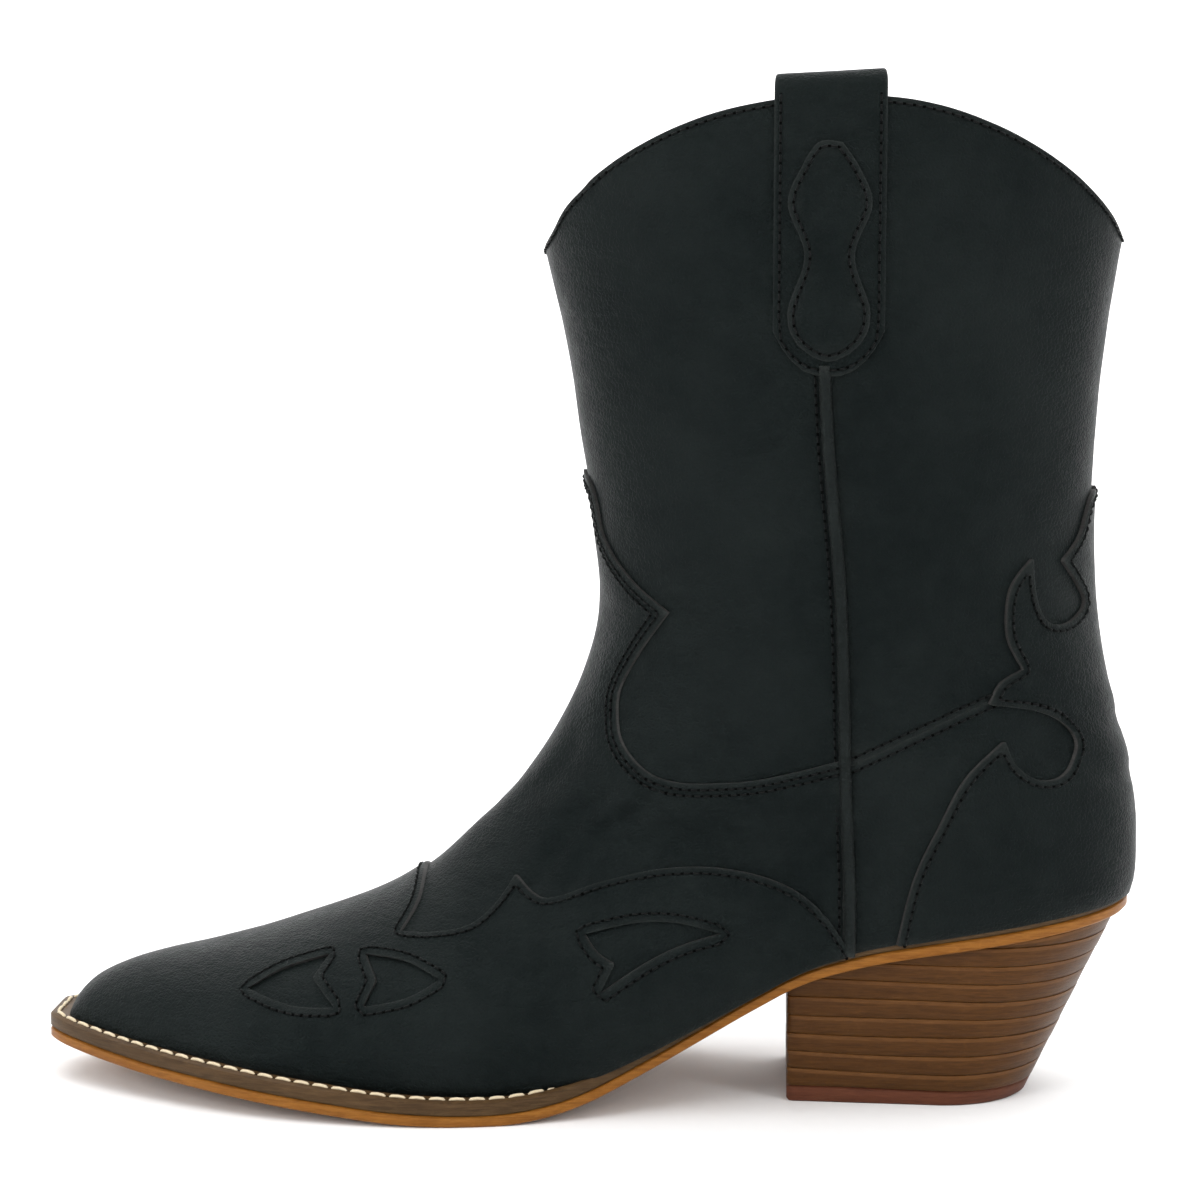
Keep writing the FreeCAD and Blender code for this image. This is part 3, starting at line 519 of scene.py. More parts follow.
def panel(name, loop, material, low, high, holes=(), step=GRID_STEP, edge_material=None):
    """Closed sheet of leather over the surface: a loop in (s, turn), its holes, and its two faces' heights,
    which are numbers or functions of (s, turn). Its cut edges can have their own material."""
    loop = loop if winding(loop) > 0 else loop[::-1]
    holes = [h if winding(h) < 0 else h[::-1] for h in holes]
    rings = [loop] + holes
    inset = [stepped(ring, EDGE_ROUND) for ring in rings]
    core = inner_points(inset[0], inset[1:], step)
    flat_points, tris = triangulated([flat(ring) for ring in inset], flat(core))
    domain = flat_points / np.array([SCALE_S, SCALE_T])

    def at(path, height, sink=0.0):
        level = height(path[:, 0], path[:, 1]) if callable(height) else height
        return skin(path[:, 0], path[:, 1], level - sink)

    points = [at(domain, high), at(domain, low)]
    count = len(domain)
    p = points[0][tris]
    out = normals(domain[tris[:, 0], 0], domain[tris[:, 0], 1], 0.0)
    turned = (np.cross(p[:, 1] - p[:, 0], p[:, 2] - p[:, 0]) * out).sum(axis=1) <= 0
    faces = two_faced(tris, turned, count)
    base, start, walls = 2 * count, 0, []
    for ring in rings:
        n = len(ring)
        points += [at(ring, high, EDGE_ROUND * 0.6), at(ring, low)]
        for k in range(n):
            m = (k + 1) % n
            a, b = start + k, start + m
            faces.append((a, base + k, base + m, b))
            walls.append(len(faces))
            faces.append((base + k, base + n + k, base + n + m, base + m))
            faces.append((base + n + k, count + a, count + b, base + n + m))
        base += 2 * n
        start += n
    made = mesh_object(name, np.vstack(points), faces, material, 50.0)
    if edge_material:
        second_material(made, edge_material, walls)
    outward(made)
    return made


def ribbon(name, path, profile, material):
    """Strip along a (s, turn) path with a cross-section given as (distance to the left, height) points."""
    lanes = []
    for across, height in profile:
        lane = stepped(path, across, False)
        lanes.append(skin(lane[:, 0], lane[:, 1], height))
    sections = np.stack(lanes, axis=1)
    count, around = sections.shape[:2]
    faces = []
    for i in range(count - 1):
        for k in range(around):
            m = (k + 1) % around
            faces.append((i * around + k, i * around + m, (i + 1) * around + m, (i + 1) * around + k))
    faces.append(tuple(range(around))[::-1])
    faces.append(tuple((count - 1) * around + k for k in range(around)))
    made = mesh_object(name, sections.reshape(-1, 3), faces, material, 45.0)
    outward(made)
    return made


def outward(made):
    """Turns the faces of a closed mesh outwards."""
    made.data.calc_loop_triangles()
    count = len(made.data.vertices)
    place_of = np.empty(count * 3)
    made.data.vertices.foreach_get("co", place_of)
    place_of = place_of.reshape(-1, 3)
    tris = np.empty(len(made.data.loop_triangles) * 3, dtype=np.int32)
    made.data.loop_triangles.foreach_get("vertices", tris)
    a, b, c = (place_of[tris.reshape(-1, 3)[:, k]] for k in range(3))
    if (a * np.cross(b, c)).sum() < 0:
        made.data.flip_normals()


def slab(name, middle, half_thick, material):
    """Thick sheet round a grid of middle points, with rounded edges."""
    rows, cols = middle.shape[:2]
    du = np.gradient(middle, axis=0)
    dv = np.gradient(middle, axis=1)
    n = np.cross(du, dv)
    n /= np.maximum(np.linalg.norm(n, axis=-1, keepdims=True), 1e-9)
    half = np.full((rows, cols, 1), half_thick)
    half[0], half[-1], half[:, 0], half[:, -1] = (half_thick * 0.6,) * 4
    points = np.concatenate([(middle + n * half).reshape(-1, 3), (middle - n * half).reshape(-1, 3)])
    count = rows * cols
    faces = []
    for i in range(rows - 1):
        for j in range(cols - 1):
            a, b, c, d = i * cols + j, i * cols + j + 1, (i + 1) * cols + j + 1, (i + 1) * cols + j
            faces += [(a, d, c, b), (count + a, count + b, count + c, count + d)]
    rim = list(range(cols)) + [i * cols + cols - 1 for i in range(1, rows)]
    rim += [(rows - 1) * cols + j for j in range(cols - 2, -1, -1)]
    rim += [i * cols for i in range(rows - 2, 0, -1)]
    for a, b in zip(rim, rim[1:] + rim[:1]):
        faces.append((a, b, count + b, count + a))
    made = mesh_object(name, points, faces, material, 60.0)
    outward(made)
    return made


def inwards(ring, reach=1):
    """Unit normals to the inside of a closed plan ring, from neighbours a few points away."""
    run = np.roll(ring, -reach, axis=0) - np.roll(ring, reach, axis=0)
    run /= np.linalg.norm(run, axis=1, keepdims=True)
    return np.stack([-run[:, 1], run[:, 0]], axis=1) * (1 if area(ring) > 0 else -1)


def plate(name, outline, top, bottom, material, edge_material=None, band=0.0, hole=None, warp=None,
          soft=0.35):
    """Layer of the bottom: a plan outline between two heights, with rounded edges. A band below its top edge
    can take the edge material. warp moves the finished points."""
    rings = [outline] + ([hole] if hole is not None else [])
    inset = [ring + inwards(ring) * soft * (-1 if number else 1) for number, ring in enumerate(rings)]
    low, high = outline.min(axis=0), outline.max(axis=0)
    spread = [np.arange(low[k], high[k], PLATE_STEP) for k in range(2)]
    core = np.stack([grid.ravel() for grid in np.meshgrid(*spread, indexing="ij")], axis=1)
    core = core[inside(core, inset[0])]
    if hole is not None:
        core = core[~inside(core, inset[1])]
    for ring in inset:
        near = np.linalg.norm(core[:, None, :] - ring[None, :, :], axis=2).min(axis=1)
        core = core[near > PLATE_STEP * 0.5]
    domain, tris = triangulated(inset, core)
    side = domain[tris]
    turned = np.cross(side[:, 1] - side[:, 0], side[:, 2] - side[:, 0]) < 0
    count = len(domain)

    def level(plan, heights):
        return np.column_stack([plan, heights])

    points = [level(domain, top(domain[:, 0])), level(domain, bottom(domain[:, 0]))]
    faces = two_faced(tris, turned, count)
    marked = []
    base, start = 2 * count, 0
    for ring in rings:
        n = len(ring)
        t, b = top(ring[:, 0]), bottom(ring[:, 0])
        thick = np.maximum(t - b, 0.02)
        cut = np.minimum(soft, thick * 0.25)
        at = [t - cut, t - np.minimum(max(band, 0.4), thick * 0.5), b + cut]
        points += [level(ring, heights) for heights in at]
        for k in range(n):
            m = (k + 1) % n
            ladder = [(start + k, start + m)]
            ladder += [(base + r * n + k, base + r * n + m) for r in range(3)]
            ladder += [(count + start + k, count + start + m)]
            for row, ((a, a2), (c, c2)) in enumerate(zip(ladder, ladder[1:])):
                faces.append((a, c, c2, a2))
                if row < 2 and band > 0:
                    marked.append(len(faces) - 1)
        base += 3 * n
        start += n
    points = np.vstack(points)
    if warp:
        points = warp(points)
    made = mesh_object(name, points, faces, material, 50.0)
    if edge_material:
        second_material(made, edge_material, marked)
    outward(made)
    return made


HOLE_SHADE_RADIUS = 0.48         # of a needle hole's near-black disc, which paints the shade inside the hole


def unit(vector):
    return vector / max(np.linalg.norm(vector), 1e-9)


def stitches(name, runs, material, hole_shade_material, pitch=2.25, length=1.6, radius=0.25, rise=0.08):
    """Rows of stitches: each run is (points, normals) in mm. Every stitch is a thread bowed between two
    needle holes; each hole is a near-black disc at the surface, painted shade standing in for the hollow."""
    verts, faces, hole_shade_faces = [], [], []
    turns = np.linspace(0, 2 * math.pi, 7)[:-1]
    bow = [(-0.5, -0.22), (-0.38, 0.10), (0.0, 0.26), (0.38, 0.10), (0.5, -0.22)]
    for points, ups in runs:
        run = run_of(points)
        count = int(run[-1] / pitch)
        if count < 1:
            continue
        real_pitch = run[-1] / count

        def at(distance):
            return along(points, run, distance), unit(along(ups, run, distance))

        for k in range(count):
            centre = (k + 0.5) * real_pitch
            slant = rng.normal(0, 0.03)
            start = len(verts)
            for share, height in bow:
                spot, up = at(centre + share * length)
                forward = at(centre + share * length + 0.2)[0] - at(centre + share * length - 0.2)[0]
                side = unit(np.cross(up, unit(forward)))
                middle = spot + up * (height + rise) + side * slant * share
                size = radius * (0.75 if abs(share) == 0.5 else 1.0)
                verts += [middle + side * math.cos(a) * size * 1.1 + up * math.sin(a) * size for a in turns]
            for i in range(len(bow) - 1):
                for j in range(6):
                    m = (j + 1) % 6
                    a, b = start + i * 6, start + (i + 1) * 6
                    faces.append((a + j, b + j, b + m, a + m))
            faces.append(tuple(start + j for j in range(6)))
            faces.append(tuple(start + (len(bow) - 1) * 6 + j for j in range(5, -1, -1)))
            # Painted shade: each needle hole is a small near-black disc on the leather, not a hollow, dark
            # where the hole's shade would fall.
            for end in (-0.5, 0.5):
                spot, up = at(centre + end * (length + 0.35))
                side = unit(np.cross(up, at(centre + end * length + 0.2)[0] - spot))
                forward = np.cross(side, up)
                start = len(verts)
                for a in turns:
                    reach = side * math.cos(a) + forward * math.sin(a)
                    verts.append(spot + reach * HOLE_SHADE_RADIUS - up * 0.03)
                verts += [spot + up * 0.05, spot - up * 0.2]
                for j in range(6):
                    m = (j + 1) % 6
                    hole_shade_faces += [len(faces), len(faces) + 1]
                    faces += [(start + j, start + m, start + 6), (start + m, start + j, start + 7)]
    made = mesh_object(name, np.array(verts), faces, material, 80.0)
    second_material(made, hole_shade_material, hole_shade_faces)
    return made


def seam_run(path, height):
    """Points and normals for stitches along a (s, turn) path at a height over the skin."""
    return skin(path[:, 0], path[:, 1], height), normals(path[:, 0], path[:, 1], 0.0)


def gaps_between(points, others):
    """Distance of each point from the nearest of the others."""
    return np.linalg.norm(points[:, None] - others[None], axis=2).min(axis=1)


def row_beside(edge, distance, loop, closed=False):
    """The path of a stitch row that keeps a distance inside a panel's edge."""
    for sign in (1, -1):
        moved = stepped(edge, sign * distance, closed)
        middle = moved[len(moved) // 2][None, :]
        if inside(flat(middle), flat(loop))[0]:
            break
    moved = moved[gaps_between(bare(moved), bare(edge)) > distance * 0.95]
    return even_path(np.vstack([moved, moved[:1]]) if closed else moved, ROW_STEP)


def even_path(path, step):
    """A (s, turn) path with evenly spaced points over the surface."""
    run = run_of(bare(path))
    return along(path, run, np.linspace(0, run[-1], max(int(run[-1] / step), 2)))


# ---------------------------------------------------------------- materials
FIBRE_CONTRAST = ((0.35, 0.0), (0.65, 1.0))
MIX_FACTOR, MIX_A, MIX_B = 0, 6, 7      # sockets of a colour mix node
MIX_RESULT = 2


class Shader:
    """Small helper that builds one node material."""

    def __init__(self, name, **settings):
        self.material = bpy.data.materials.new(name)
        self.material.use_nodes = True
        self.nodes = self.material.node_tree.nodes
        self.links = self.material.node_tree.links
        self.body = self.nodes["Principled BSDF"]
        for key, value in settings.items():
            self.body.inputs[key.replace("_", " ")].default_value = value
        self.coords = self.nodes.new("ShaderNodeTexCoord").outputs["Object"]
        self.bumped = None

    def put(self, node, key, value):
        if isinstance(value, bpy.types.NodeSocket):
            self.links.new(value, node.inputs[key])
        else:
            node.inputs[key].default_value = value

    def add(self, kind, **values):
        """New node with its inputs set or linked."""
        node = self.nodes.new(f"ShaderNode{kind}")
        for key, value in values.items():
            self.put(node, key.replace("_", " "), value)
        return node

    def stretched(self, scale, turn=(0.0, 0.0, 0.0)):
        return self.add("Mapping", Vector=self.coords, Scale=scale, Rotation=turn).outputs["Vector"]

    def noise(self, scale, detail=3.0, roughness=0.55, distortion=0.0, vector=None):
        node = self.add("TexNoise", Vector=vector or self.coords, Scale=scale, Detail=detail,
                        Roughness=roughness, Distortion=distortion)
        return node.outputs["Fac"]

    def cells(self, scale, feature="DISTANCE_TO_EDGE", vector=None):
        node = self.add("TexVoronoi", Vector=vector or self.coords, Scale=scale)
        node.feature = feature
        return node.outputs["Distance"]

    def warped(self, amount, scale):
        """The coordinates pushed about by noise, so that cells don't look regular."""
        noise = self.add("TexNoise", Vector=self.coords, Scale=scale, Detail=2.0)
        push = self.nodes.new("ShaderNodeVectorMath")
        push.operation = "MULTIPLY_ADD"
        for number, value in enumerate((noise.outputs["Color"], (amount, amount, amount), self.coords)):
            self.put(push, number, value)
        return push.outputs["Vector"]

    def ramp(self, value, *stops):
        """Ramp between greys; stops are (position, grey)."""
        node = self.add("ValToRGB", Fac=value)
        steps = node.color_ramp.elements
        while len(steps) < len(stops):
            steps.new(0.5)
        for step, (position, grey) in zip(steps, stops):
            step.position = position
            step.color = (grey, grey, grey, 1.0)
        return node.outputs["Color"]

    def mix(self, factor, a, b):
        """Mixture of two colours, each a value or a socket."""
        node = self.nodes.new("ShaderNodeMix")
        node.data_type = "RGBA"
        for number, value in ((MIX_FACTOR, factor), (MIX_A, a), (MIX_B, b)):
            self.put(node, number, (*value, 1.0) if isinstance(value, tuple) else value)
        return node.outputs[MIX_RESULT]

    def scaled(self, value, factor):
        node = self.nodes.new("ShaderNodeMath")
        node.operation = "MULTIPLY"
        self.links.new(value, node.inputs[0])
        node.inputs[1].default_value = factor
        return node.outputs[0]

    def bump(self, height, distance, strength=1.0):
        node = self.add("Bump", Strength=strength, Distance=distance, Height=height)
        if self.bumped:
            self.links.new(self.bumped, node.inputs["Normal"])
        self.bumped = node.outputs["Normal"]
        self.links.new(self.bumped, self.body.inputs["Normal"])

    def colour(self, value):
        self.links.new(value, self.body.inputs["Base Color"])

    def roughness(self, value, low, high):
        node = self.add("MapRange", Value=value, To_Min=low, To_Max=high)
        self.links.new(node.outputs["Result"], self.body.inputs["Roughness"])

    def edges(self, low, high):
        """Bright on convex edges."""
        geometry = self.nodes.new("ShaderNodeNewGeometry")
        return self.ramp(geometry.outputs["Pointiness"], (low, 0.0), (high, 1.0))


def black_leather(name, dark=(0.0012, 0.0021, 0.0021), light=(0.0058, 0.0074, 0.0071)):
    """Smooth black leather with a slight green-blue cast, fine grain, pores and shallow draw marks."""
    m = Shader(name, Specular_IOR_Level=0.08, Specular_Tint=(0.80, 1.0, 1.0, 1.0))
    broad = m.noise(22.0, 4.0, 0.6)
    cloud = m.noise(160.0, 5.0, 0.6, 0.4)
    grain = m.cells(950.0, vector=m.warped(0.0012, 420.0))
    pores = m.cells(2100.0, "F1", vector=m.warped(0.0004, 900.0))
    base = m.mix(m.ramp(broad, (0.35, 0.0), (0.7, 1.0)), dark, light)
    base = m.mix(m.ramp(cloud, (0.42, 0.0), (0.80, 0.50)), base, (0.0078, 0.0100, 0.0097))
    base = m.mix(m.scaled(m.edges(0.52, 0.60), 0.5), base, (0.034, 0.036, 0.034))
    m.colour(base)
    m.roughness(cloud, 0.30, 0.58)
    draw = m.noise(1.0, 4.0, 0.6, 0.6, vector=m.stretched((90.0, 90.0, 330.0), (0.0, 0.25, 0.0)))
    m.bump(draw, 0.0007, 0.7)
    m.bump(m.noise(420.0, 4.0, 0.6, 0.8), 0.0003, 0.6)
    m.bump(m.ramp(grain, (0.0, 0.0), (0.22, 1.0)), 0.00012, 0.7)
    m.bump(pores, 0.00003, 0.5)
    return m.material


def plain(name, noise, dark, light, rough, bump=None, stretch=None, contrast=None, **settings):
    """Material that varies between two colours with one noise, which also roughens and raises it."""
    m = Shader(name, **settings)
    pattern = m.noise(*noise, vector=m.stretched(stretch) if stretch else None)
    m.colour(m.mix(m.ramp(pattern, *contrast) if contrast else pattern, dark, light))
    m.roughness(pattern, *rough)
    if bump:
        m.bump(pattern, *bump)
    return m.material


def raw_edge(name, dark, light):
    """Cut edge of leather: fibres in layers, dyed and slightly burnished."""
    return plain(name, (1.0, 4.0, 0.7, 0.5), dark, light, (0.5, 0.75), (0.00008, 0.7), (900.0, 900.0, 3600.0),
                 FIBRE_CONTRAST, Specular_IOR_Level=0.3)


def thread_material(name, dark, light, gloss=0.35, sheen=0.15):
    """Twisted waxed thread."""
    return plain(name, (2600.0, 2.0, 0.5, 0.3), dark, light, (0.45, 0.7), (0.00012, 0.8),
                 Specular_IOR_Level=gloss, Sheen_Weight=sheen)


def lining_leather(name, dark=(0.46, 0.36, 0.25), light=(0.62, 0.51, 0.38)):
    """Undyed pig-skin lining: matt, with pores in threes and faint wrinkles."""
    m = Shader(name, Specular_IOR_Level=0.25)
    broad = m.noise(40.0, 5.0, 0.6)
    pores = m.cells(520.0, "F1", vector=m.warped(0.002, 260.0))
    base = m.mix(m.ramp(broad, (0.3, 0.0), (0.7, 1.0)), dark, light)
    m.colour(m.mix(m.ramp(pores, (0.05, 0.7), (0.22, 0.0)), base, (0.24, 0.17, 0.11)))
    m.roughness(broad, 0.6, 0.85)
    m.bump(m.ramp(pores, (0.0, 0.0), (0.3, 1.0)), 0.00012, 0.5)
    m.bump(m.noise(260.0, 4.0, 0.6, 0.8), 0.0002, 0.4)
    return m.material


def sole_leather(name, dark, light, streak, gloss):
    """Edge-dressed sole or heel leather: fibres run along the layer, with stains and burnish."""
    m = Shader(name, Specular_IOR_Level=0.12)
    along = m.noise(1.0, 6.0, 0.65, 0.7, vector=m.stretched((55.0, 55.0, 1300.0)))
    fibre = m.noise(1.0, 4.0, 0.7, 0.4, vector=m.stretched((260.0, 260.0, 2600.0)))
    stain = m.noise(38.0, 4.0, 0.6, 0.5)
    speck = m.noise(700.0, 3.0, 0.6)
    base = m.mix(m.ramp(along, (0.32, 0.0), (0.68, 1.0)), dark, light)
    base = m.mix(m.ramp(fibre, (0.42, 0.0), (0.72, 0.55)), base, streak)
    base = m.mix(m.ramp(stain, (0.4, 0.0), (0.75, 0.45)), base, dark)
    m.colour(m.mix(m.ramp(speck, (0.6, 0.0), (0.8, 0.35)), base, streak))
    m.roughness(stain, *gloss)
    m.bump(fibre, 0.00012, 0.6)
    m.bump(speck, 0.00005, 0.5)
    return m.material


def board(name, dark, light):
    """Pressed fibre board."""
    return plain(name, (900.0, 5.0, 0.7), dark, light, (0.75, 0.95), (0.0001, 0.5), None, FIBRE_CONTRAST,
                 Specular_IOR_Level=0.2)


def steel(name):
    """Brushed steel."""
    return plain(name, (1.0, 3.0, 0.5), (0.42, 0.41, 0.40), (0.62, 0.61, 0.60), (0.28, 0.5), (0.00002, 0.4),
                 (60.0, 1800.0, 1800.0), Metallic=1.0)


BLACK = black_leather("black_leather")
# The panels' cut edges are lighter grey partly as the raw edge's own tone and partly as a painted highlight of
# the bevel catching light.
CUT_EDGE_AND_HIGHLIGHT = raw_edge("leather_cut_edge_and_painted_highlight", (0.006, 0.006, 0.006), (0.030, 0.029, 0.027))
RIM_EDGE = raw_edge("rim_cut_edge", (0.022, 0.014, 0.009), (0.060, 0.038, 0.024))
THREAD = thread_material(
    "upper_thread", (0.0012, 0.0015, 0.0015), (0.0060, 0.0072, 0.0070), gloss=0.12, sheen=0.0)
# Painted shade: the needle holes' discs are near-black and barely reflect, standing in for the shade inside
# each hole.
HOLE_SHADE = plain("needle_hole_painted_shade", (3000.0,), (0.0004, 0.0004, 0.0004), (0.0010, 0.0010, 0.0010), (0.85, 0.95),
             Specular_IOR_Level=0.02)
WELT_THREAD = thread_material("welt_thread", (0.50, 0.40, 0.25), (0.74, 0.63, 0.45))
LINING = lining_leather("lining_leather")
WELT = sole_leather(
    "welt_leather", (0.034, 0.018, 0.007), (0.080, 0.044, 0.018), (0.12, 0.072, 0.032), (0.35, 0.55))
OUTSOLE = sole_leather(
    "outsole_leather", (0.15, 0.050, 0.006), (0.27, 0.105, 0.016), (0.36, 0.16, 0.032), (0.3, 0.5))
LIFT = sole_leather(
    "heel_lift_leather", (0.040, 0.0150, 0.0032), (0.080, 0.0315, 0.0070), (0.115, 0.048, 0.012), (0.3, 0.5))
LIFT_EDGE = sole_leather(
    "heel_lift_edge", (0.068, 0.027, 0.007), (0.115, 0.047, 0.0125), (0.155, 0.068, 0.020), (0.32, 0.5))
TOP_PIECE = sole_leather(
    "top_piece_rubber", (0.075, 0.023, 0.012), (0.12, 0.040, 0.020), (0.15, 0.056, 0.028), (0.4, 0.6))


# ---------------------------------------------------------------- outlines
seam_line = drawn(SIDE_SEAM)
tongue_line = chain(TONGUE_EDGE)
quarter_line = drawn(QUARTER_SEAM)
rim_line = drawn(RIM_LINE)
wing_line = chain(WING_EDGE)
counter_line = chain(COUNTER_EDGE)
feather_line = drawn(FEATHER_LINE)


def feather_height(x):
    return np.interp(x, feather_line[:, 0], feather_line[:, 1])


def feather_path():
    """(s, turn) path of the line where the upper meets the welt, from the back to the toe."""
    drop = 0.35
    path = []
    for s in np.linspace(8.6, 23.0, 460):
        turns = np.linspace(0.0, math.pi, 400)
        p = surface(np.full(400, s), turns, 0.0)
        over = p[:, 2] - (feather_height(p[:, 0]) - drop)
        under = np.nonzero(over < 0)[0]
        if len(under) == 0:
            continue
        k = under[0]
        if k == 0:
            path.append((s, 0.0))
            break
        share = over[k - 1] / (over[k - 1] - over[k])
        path.append((s, turns[k - 1] + share * (turns[k] - turns[k - 1])))
    path = np.array(path)
    path[0, 1] = math.pi
    return even_path(path, EDGE_STEP)


feather = feather_path()
feather_x = bare(feather)[:, 0]


def feather_ahead(x):
    """The feather path from a place to the toe."""
    return feather[feather_x < x - 0.5]


def feather_behind(x):
    """The feather path from a place to the back of the heel."""
    return feather[feather_x > x + 0.5][::-1]


def joined(*paths):
    out = np.vstack(paths)
    return out[np.concatenate([[True], steps_of(bare(out)) > 0.25])]


def to_ridge(line, at_back=False, first=True):
    """Side-view line as a (s, turn) path whose off-boot end is cut where it leaves the boot's outline."""
    path = on_surface(line)
    edge = math.pi if at_back else 0.0
    on_edge = np.abs(path[:, 1] - edge) < 1e-6
    if first:
        k = int(np.nonzero(~on_edge)[0][0])
        return path[max(k - 1, 0):]
    k = int(np.nonzero(~on_edge)[0][-1])
    return path[:k + 2]


def between_lines(line, first, second):
    """The stretch of a line between two crossing lines."""
    return upto(after(line, first), second)


tongue_side = to_ridge(upto(tongue_line, seam_line))
seam_to_tongue = on_surface(between_lines(seam_line, rim_line, tongue_line))
seam_below_tongue = on_surface(between_lines(seam_line, tongue_line, feather_line))
seam_to_quarter = on_surface(between_lines(seam_line, rim_line, quarter_line))
seam_below_quarter = on_surface(between_lines(seam_line, quarter_line, feather_line))
quarter_side = to_ridge(quarter_line, True, False)
rim_front = to_ridge(upto(rim_line, seam_line))
rim_back = to_ridge(after(rim_line, seam_line), True, False)
wing_side = to_ridge(upto(wing_line, feather_line))
counter_side = to_ridge(after(counter_line, feather_line), True, False)
seam_foot_x = crossing(seam_line, feather_line)[2][0]
wing_foot_x = crossing(wing_line, feather_line)[2][0]
counter_foot_x = crossing(counter_line, feather_line)[2][0]


def made_for(side, name):
    """Name of the piece on the outer or the inner side."""
    return f"{name}_{'lateral' if side > 0 else 'medial'}"


def on_side(path, side):
    other = path.copy()
    if side < 0:
        other[:, 1] = -other[:, 1]
    return other


def back_on_side(path, side):
    """A path by the back line, for pieces laid out round turn = pi."""
    other = path.copy()
    if side < 0:
        other[:, 1] = 2 * math.pi - other[:, 1]
    return other


# ---------------------------------------------------------------- upper
tongue_points = bare(tongue_side)


def lap(s, turn):
    """How much the vamp is lifted by the shaft leather under its top edge."""
    points = surface(s, turn, 0.0)
    points[:, 1] = AXIS_Y - np.abs(points[:, 1] - AXIS_Y)
    gap = np.full(len(points), 1e9)
    for start in range(0, len(tongue_points), 60):
        part = np.linalg.norm(points[:, None, :] - tongue_points[None, start:start + 60, :], axis=2)
        gap = np.minimum(gap, part.min(axis=1))
    share = np.clip((gap - 4.0) / 12.0, 0.0, 1.0)
    return 1.0 - share * share * (3 - 2 * share)


def vamp_height(s, turn):
    return 1.0 * lap(s, turn)


def leather(name, loop, low, high, node, edge_material=CUT_EDGE_AND_HIGHLIGHT, **more):
    """Panel of black leather that stands for a CAD node."""
    made = panel(name, loop, BLACK, low, high, edge_material=edge_material, **more)
    finish_piece(made, "upper_leather", node)


def windows(side):
    return [on_side(on_surface(chain(runs))[:-1], side) for runs in (EYE_FRONT, EYE_REAR, FIN_WINDOW)]


vamp_loop = both_sides(joined(tongue_side, seam_below_tongue, feather_ahead(seam_foot_x)))
leather("vamp_leather", vamp_loop, lambda s, t: -1.45 + 1.5 * lap(s, t), vamp_height, "vamp", step=FOOT_STEP)
front_loop = both_sides(joined(rim_front, seam_to_tongue, stepped(tongue_side, -3.5, False)[::-1]))
leather("front_shaft_leather", front_loop, BASE_LOW, BASE_HIGH, "front_shaft_panel", RIM_EDGE)
back_loop = both_sides(joined(rim_back[::-1], seam_to_quarter, quarter_side), math.pi)
leather("back_shaft_leather", back_loop, BASE_LOW, BASE_HIGH, "back_shaft_panel", RIM_EDGE)
quarter_outline = joined(quarter_side[::-1], seam_below_quarter, feather_behind(seam_foot_x))
for side in (1, -1):
    leather(made_for(side, "quarter_leather"), back_on_side(quarter_outline, side), BASE_LOW, BASE_HIGH,
            made_for(side, "lower_quarter"))
wing_loop = both_sides(joined(wing_side, feather_ahead(wing_foot_x)))
leather("wing_toe_leather", wing_loop, OVER_LOW, OVER_HIGH, "wing_toe_overlay", step=FOOT_STEP,
        holes=windows(1) + windows(-1))
counter_loop = both_sides(joined(counter_side[::-1], feather_behind(counter_foot_x)), math.pi)
leather("counter_leather", counter_loop, OVER_LOW, OVER_HIGH, "counter_overlay")

PIPING_TOP = 181.0         # where the piping runs in under the strap
piping_line = between_lines(seam_line, drawn([(0.0, PIPING_TOP), (120.0, PIPING_TOP)]), feather_line)
piping_path = on_surface(piping_line, 1.5)
PIPING_PROFILE = [
    (-1.45, 0.0), (-1.4, 0.9), (-1.0, 1.65), (-0.35, 1.95), (0.4, 1.95), (1.0, 1.6), (1.4, 0.9), (1.45, 0.0),
]
for side in (1, -1):
    path = on_side(piping_path, side)
    finish_piece(ribbon(made_for(side, "piping"), path, PIPING_PROFILE, BLACK),
                 "upper_leather", made_for(side, "side_piping"))

# ---------------------------------------------------------------- pull straps
STRAP_ROWS = 60
STRAP_COLUMNS = [0.0, 0.35, 1.0, 2.2, 4.2, 7.0, 10.0, 12.75, 15.5, 18.5, 21.3, 23.3, 24.5, 25.15, 25.5]
STRAP_LOW, STRAP_SHOULDER = 178.5, 10.5
STRAP_TOP_FRONT, STRAP_TOP_BACK = 247.6, 248.8
STRAP_INNER_END = 212.6
STRAP_OUT, STRAP_IN = 0.7, -5.9
STRAP_HALF = 0.5
STRAP_BEND = 3.6           # height of the bend over the rim


def strap_bottom(x):
    """Height of the strap's lower end, which is rounded."""
    off = abs(x - STRAP_MID) / ((STRAP_BACK - STRAP_FRONT) / 2)
    return STRAP_LOW + STRAP_SHOULDER * off ** 2.6


def strap_column(x):
    """Side-view heights and layer heights of one line along the strap: up the outside, over the top and
    down inside."""
    share = (x - STRAP_FRONT) / (STRAP_BACK - STRAP_FRONT)
    turn_at = STRAP_TOP_FRONT + (STRAP_TOP_BACK - STRAP_TOP_FRONT) * share - STRAP_BEND
    middle, reach = (STRAP_OUT + STRAP_IN) / 2, (STRAP_OUT - STRAP_IN) / 2
    low = strap_bottom(x)
    ends = [0.0, 0.35 / (turn_at - low)]
    up = np.concatenate([ends, np.linspace(0.02, 1.0, STRAP_ROWS)])
    line = [(low + (turn_at - low) * f, STRAP_OUT) for f in up]
    for a in np.linspace(0, math.pi, 15)[1:-1]:
        line.append((turn_at + (STRAP_BEND - STRAP_HALF) * math.sin(a), middle + reach * math.cos(a)))
    for f in np.linspace(0, 1, 24):
        ease = np.clip((f - 0.45) / 0.5, 0, 1)
        inner = STRAP_IN + (LINING_LOW - 0.7 - STRAP_IN) * ease * ease * (3 - 2 * ease)
        line.append((turn_at + (STRAP_INNER_END - turn_at) * f, inner))
    return line


